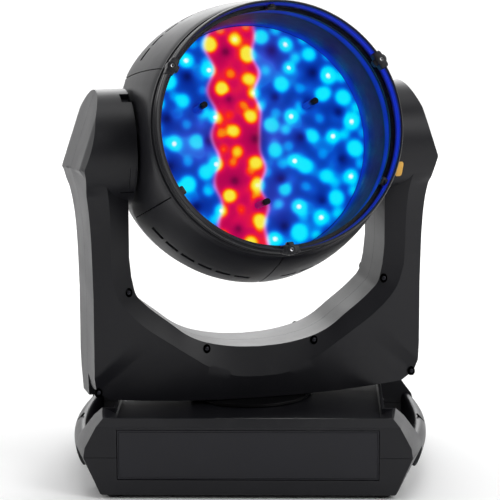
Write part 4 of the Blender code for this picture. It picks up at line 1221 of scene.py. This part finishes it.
frontPanel = {
    "low": (-159.7, 20.0), "high": (159.7, 81.7),
    # inset and depth behind the base's front: the edge steps back twice, which leaves a double line round it
    "steps": [(0, 1.8), (0, 0.5), (0.5, 0.0), (1.5, 0.0), (1.7, 0.5), (2.2, 0.5), (2.5, -0.2), (12.0, -0.3),
              (30.0, -0.3)],
}


def makeFrontPanel():
    steps = [(inset, y - baseShape["halfDepth"]) for inset, y in frontPanel["steps"]]
    plate = steppedPlate(frontPanel["low"], frontPanel["high"], steps, 8)
    makePiece("front_panel", [plate], fromBase, "base", panelPlastic, ("base_front_panel",),
              sharp=20)


makeFrontPanel()

grip = {
    "half": 108.6, "halfWidth": 201.0, "edge": 0.5,
    "section": [(0, 39), (0, 49.5), (-4.5, 57), (-10, 60.5), (-15.5, 59), (-17, 50), (-17, 30), (-12, 20.5),
                (-7, 20.5)],
    "slot": (217.6, -16.0, 58.4), "slotSize": (2.6, 7.0, 1.0), "slotFaces": (0.75, 0, 0.66),
}


def gripLoop(y, side):  # the section on the bowed side of the base
    p = roundCorners(grip["section"], closed=True)
    return np.stack([side * (sideAt(y, grip["halfWidth"], 1.0) + p[:, 0]), np.full(len(p), y), p[:, 1]], -1)


def makeGrips():
    marks = []
    for name, side in (("left", -1), ("right", 1)):
        grid = withEnds([gripLoop(y, side) for y in np.linspace(-grip["half"], grip["half"], 45)])
        makePiece("grip_" + name, [(grid, True, None)], fromBase, "base", housing,
                  ("side_handle_" + name,), bevel=grip["edge"], bevelAngle=40)
        # the short slot of the grip's fixing, at mid depth on its slope, painted near-black as shade
        mirror = np.array([side, 1, 1])
        slot = superBlock(grip["slotSize"], 5, 10, 28)
        marks.append(moved(slot, grip["slot"] * mirror, grip["slotFaces"] * mirror))
    makePiece("grip_slots", marks, fromBase, "base", paintedShade, sharp=50)


makeGrips()


baseScrews = {
    "deck": (161.0, 150.0, 87.4),           # mirrored to the four corners, mm
    "rearFace": 167.0, "rearSides": (153.0, (26.0, 76.0)), "rearRows": ((-90.0, 0.0, 90.0), (24.5, 77.0)),
    "head": [(0, -0.6), (3.1, -0.6), (3.3, 0.2), (2.6, 0.9), (1.4, 1.0), (1.2, -0.1), (0, -0.1)],
    "ring": [(4.6, -0.5), (4.6, 0.1), (3.7, 0.1), (3.7, -0.5)],
}


def makeBaseScrews():
    # countersunk screws at the four corners of the deck and round the rear panel, each in a ring painted
    # near-black as shade
    x, y, z = baseScrews["deck"]
    places = [((sx * x, sy * y, z), (0, 0, 1)) for sx in (-1, 1) for sy in (-1, 1)]
    x, heights = baseScrews["rearSides"]
    places += [((sx * x, baseScrews["rearFace"], z), (0, 1, 0)) for sx in (-1, 1) for z in heights]
    across, heights = baseScrews["rearRows"]
    places += [((x, baseScrews["rearFace"], z), (0, 1, 0)) for x in across for z in heights]
    rings = [moved(ringPatch(baseScrews["ring"], 24), place, out) for place, out in places]
    heads = [moved(solidPatch(baseScrews["head"], 24), place, out) for place, out in places]
    makePiece("base_screw_rings", rings, fromBase, "base", paintedShade, sharp=40)
    makePiece("base_screws", heads, fromBase, "base", blackBolt, sharp=40)


makeBaseScrews()


foot = {
    "place": (164.0, 154.0),
    "section": [(0, -4.5), (9.0, -4.5), (9.8, -4.2), (10.4, -3.4), (11.8, -0.6), (11.8, -0.35), (0, -0.35)],
}


def makeFeet():
    # moulded feet: a short cone with a rounded rim
    x, y = foot["place"]
    for depth, sy in (("front", -1), ("rear", 1)):
        for side, sx in (("left", -1), ("right", 1)):
            pad = moved(solidPatch(foot["section"], 48), (sx * x, sy * y, 0))
            makePiece("pad_%s_%s" % (depth, side), [pad], fromBase, "base", rubber,
                      ("foot_%s_%s" % (depth, side),), sharp=40)


makeFeet()


rearFace = 166.7   # the rear panel's outer face: its depth in mm
rearSide = (0, 1, 0)

dataSockets = {
    "x": (-66.0, -36.0), "height": 52.0,
    "flange": [(8.2, -2.0), (11.9, -2.0), (11.9, 1.6), (11.3, 2.3), (9.4, 2.3), (8.2, 1.4)],
    "insert": [(0, -9.0), (7.7, -9.0), (7.7, -3.4), (0, -3.4)],
    "tab": (2.6, 1.6, 1.2), "tabShift": (0, 1.6, 9.4),
    "pins": 5, "firstPin": 35.0, "pinPitch": 72.5, "pinCircle": 4.6, "pinSunk": 3.6, "pinLength": 2.2,
    "pinRadius": 0.7,
}
mainsInlet = {
    "place": (-124.0, rearFace, 52.0),
    "shroud": [(8.4, -14.0), (11.6, -14.0), (11.6, 1.6), (10.8, 2.4), (8.9, 2.4), (8.4, 1.8)],
    "insert": [(0, -14.0), (8.1, -14.0), (8.1, -8.0), (0, -8.0)],
    "blade": (0.9, 2.4, 4.0), "blades": [(-4.0, -5.0, -2.0), (4.0, -5.0, -2.0), (0.0, -5.0, 3.6)],
}
menuKeys = {
    "first": (100.0, rearFace, 50.0), "pitch": 18.0,
    "section": [(0, -5.6), (4.4, -5.6), (4.4, 2.2), (3.8, 2.9), (2.4, 2.6), (0, 2.4)],
}


def makeDataSockets():
    # round locking sockets: a flange, a sunk insert with a latch tab over it, and pins part of the way round
    rims, inserts, pins = [], [], []
    for x in dataSockets["x"]:
        place = np.array([x, rearFace, dataSockets["height"]])
        rims.append(moved(ringPatch(dataSockets["flange"], 56), place, rearSide))
        inserts.append(moved(solidPatch(dataSockets["insert"], 40), place, rearSide))
        tab = superBlock(dataSockets["tab"], 4, 10, 24)
        inserts.append(moved(tab, place + dataSockets["tabShift"], rearSide))
        for k in range(dataSockets["pins"]):
            a = math.radians(dataSockets["firstPin"] + dataSockets["pinPitch"] * k)
            way = np.array([math.cos(a), 0, math.sin(a)])
            pin = rodPatch((0, 0, 0), (0, 0, dataSockets["pinLength"]), dataSockets["pinRadius"])
            shift = place + dataSockets["pinCircle"] * way - [0, dataSockets["pinSunk"], 0]
            pins.append(moved(pin, shift, rearSide))
    makePiece("data_socket_rims", rims, fromBase, "base", steel,
              ("data_socket_in", "data_socket_out"), sharp=35)
    makePiece("data_socket_inserts", inserts, fromBase, "base", trim, sharp=35)
    makePiece("data_socket_pins", pins, fromBase, "base", steel, sharp=40)


def makeMainsInlet():
    # a round shroud with a sunk insert and three flat blades
    place = mainsInlet["place"]
    parts = [ringPatch(mainsInlet["shroud"], 56), solidPatch(mainsInlet["insert"], 40)]
    makePiece("mains_inlet", [moved(part, place, rearSide) for part in parts], fromBase, "base",
              trim, ("power_inlet",), sharp=35)
    blades = [moved(superBlock(mainsInlet["blade"], 8, 10, 24), np.add(place, shift), rearSide)
              for shift in mainsInlet["blades"]]
    makePiece("mains_inlet_blades", blades, fromBase, "base", steel, sharp=40)


def makeMenuKeys():
    # turned keys with a dished top
    x, y, z = menuKeys["first"]
    for k in range(3):
        key = moved(solidPatch(menuKeys["section"], 40), (x + menuKeys["pitch"] * k, y, z), rearSide)
        body = "menu_button_%d" % (k + 1)
        makePiece("menu_key_%d" % (k + 1), [key], fromBase, body, trim, (body,), sharp=40)


makeDataSockets()
makeMainsInlet()
makeMenuKeys()


display = {
    "low": (15.4, 34.4), "high": (80.6, 65.6),
    # inset, height off the panel
    "steps": [(0, -2.2), (0, 0.3), (0.6, 0.75), (2.6, 0.75), (3.0, 0.35), (12.0, 0.35)],
}


def makeDisplay():
    # a bevelled window with a frame round it
    steps = [(inset, y + rearFace) for inset, y in display["steps"]]
    window = steppedPlate(display["low"], display["high"], steps, 6)
    makePiece("display_lens", [window], fromBase, "base", lining, ("display_window",), sharp=20)


makeDisplay()


panCatch = {"size": (11.6, 7.6, 2.8), "middle": (0, 136.0, 89.4), "ribDepth": 0.35, "ribReach": 8.0}


def makePanCatch():
    # the rear deck's sliding catch: a soft wedge with grip ribs
    grid = superBlock(panCatch["size"], 5, 16, 64)[0]
    ribs = (np.cos(grid[..., 0] * 2.1) > 0.6) * (np.abs(grid[..., 0]) < panCatch["ribReach"])
    grid[..., 2] -= panCatch["ribDepth"] * ribs * (grid[..., 2] > 1.5)
    makePiece("pan_catch", [(grid + panCatch["middle"], True, None)], fromBase, "pan_lock",
              catchPlastic, ("pan_lock_catch",), sharp=50)


makePanCatch()
print("base made")

# the frame's nodes that stay as they are, each in its own finish
kept = {
    plainSheet: ["chassis_plate", "power_supply", "yoke_frame", "head_chassis", "heat_sink",
                 "pan_motor_pulley", "pan_pulley", "tilt_motor_pulley", "tilt_pulley"],
    rearSheet: ["base_rear_panel"],
    steel: ["pan_bearing", "pan_shaft", "tilt_bearing_left", "tilt_bearing_right", "trunnion_left",
            "trunnion_right"],
    rubber: ["pan_belt", "tilt_belt"],
    board: ["control_board", "led_board"],
    trim: ["pan_motor", "tilt_motor", "fan_housing"],
    frontGlass: ["front_glass"],
}
for material, names in kept.items():
    for name in names:
        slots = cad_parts[name].data.materials
        slots.clear()
        slots.append(material)

studio = {
    "floor": "#fafafa", "floorHeight": -4.6, "floorHalf": 9000, "world": "#ffffff", "worldPower": 1.05,
    "roomPower": 0.15, "roomTurn": (-0.45, 0.45),   # the dim side, and where along depth the paper begins
    # name: place, aim, width, height, power in watts
    "lamps": {"left softbox": ((-2.4, -0.3, 1.0), (0, 0, 0.35), 1.2, 1.8, 8.0),
              "right softbox": ((1.9, -1.6, 1.7), (0, 0, 0.35), 1.0, 1.2, 24.0),
              "top softbox": ((0.1, -0.3, 2.7), (0, 0, 0.3), 1.8, 1.2, 14.0),
              "back softbox": ((0.3, 2.6, 1.5), (0, 0, 0.2), 2.4, 1.4, 30.0),
              "paper wash": ((0.0, 6.5, 3.2), (0, 6.5, 0), 9.0, 8.0, 200.0)},
}


def makeFloor():
    # a flat square that reaches far outside the view
    u = studio["floorHalf"] * np.linspace(-1, 1, 41)
    x, y = np.meshgrid(u, u)
    points = (np.stack([x, y, np.full_like(x, studio["floorHeight"])], -1) * mm).reshape(-1, 3)
    mesh = bpy.data.meshes.new("studio_floor")
    mesh.from_pydata([tuple(p) for p in points], [], [tuple(f) for f in gridFaces(41, 41, False, 0)])
    mesh.shade_smooth()
    floor = bpy.data.objects.new("studio_floor", mesh)
    bpy.context.scene.collection.objects.link(floor)
    mesh.materials.append(paperMaterial())


def paperMaterial():
    # matt white paper: no gloss, and fibres too fine to see on their own
    material, tree, shader = newMaterial("matt white paper")
    place = addNode(tree, "ShaderNodeTexCoord").outputs["Object"]
    fibre = addNode(tree, "ShaderNodeTexNoise", links={"Vector": place, "Scale": 900.0, "Detail": 3.0})
    bump = addNode(tree, "ShaderNodeBump", links={"Height": fibre.outputs["Fac"], "Strength": 0.1,
                                                  "Distance": 0.0002})
    shader.inputs["Base Color"].default_value = linearColour(studio["floor"])
    shader.inputs["Roughness"].default_value = 0.9
    tree.links.new(bump.outputs["Normal"], shader.inputs["Normal"])
    return material


def makeRoom():
    # bright paper behind and beside, a dim room on the near side: the power rises smoothly along depth
    world = bpy.data.worlds.new("studio")
    bpy.context.scene.world = world
    world.use_nodes = True
    tree = world.node_tree
    way = addNode(tree, "ShaderNodeTexCoord").outputs["Generated"]
    parts = addNode(tree, "ShaderNodeSeparateXYZ", links={"Vector": way})
    low, high = studio["roomTurn"]
    power = addNode(tree, "ShaderNodeMapRange", {"interpolation_type": "SMOOTHSTEP"},
                    {"Value": parts.outputs["Y"], "From Min": low, "From Max": high,
                     "To Min": studio["roomPower"], "To Max": studio["worldPower"]})
    sky = tree.nodes["Background"]
    sky.inputs["Color"].default_value = linearColour(studio["world"])
    tree.links.new(power.outputs["Result"], sky.inputs["Strength"])


def makeLamps():
    for name, (place, aim, width, height, watts) in studio["lamps"].items():
        data = bpy.data.lights.new(name, "AREA")
        data.shape, data.size, data.size_y, data.energy = "RECTANGLE", width, height, watts
        lamp = bpy.data.objects.new(name, data)
        lamp.location = place
        lamp.rotation_euler = (Vector(aim) - Vector(place)).to_track_quat("-Z", "Y").to_euler()
        bpy.context.scene.collection.objects.link(lamp)


# angles in degrees, places in metres, sensor and lens in mm
cameraView = {"azimuth": 1.16, "elevation": 10.56, "distance": 2.99986, "target": (-0.00019, 0.0, 0.27358),
              "sensor": 36.0, "lens": 169.745, "roll": -0.16}


def makeCamera():
    az, el = math.radians(cameraView["azimuth"]), math.radians(cameraView["elevation"])
    back = Vector((math.sin(az) * math.cos(el), -math.cos(az) * math.cos(el), math.sin(el)))
    data = bpy.data.cameras.new("camera")
    data.sensor_width, data.lens = cameraView["sensor"], cameraView["lens"]
    camera = bpy.data.objects.new("camera", data)
    camera.location = Vector(cameraView["target"]) + back * cameraView["distance"]
    camera.rotation_euler = (-back).to_track_quat("-Z", "Y").to_euler()
    camera.rotation_euler.rotate_axis("Z", math.radians(cameraView["roll"]))
    bpy.context.scene.collection.objects.link(camera)
    bpy.context.scene.camera = camera


makeFloor()
makeRoom()
makeLamps()
makeCamera()
bpy.context.scene.view_settings.view_transform = "Standard"
print("stage set")
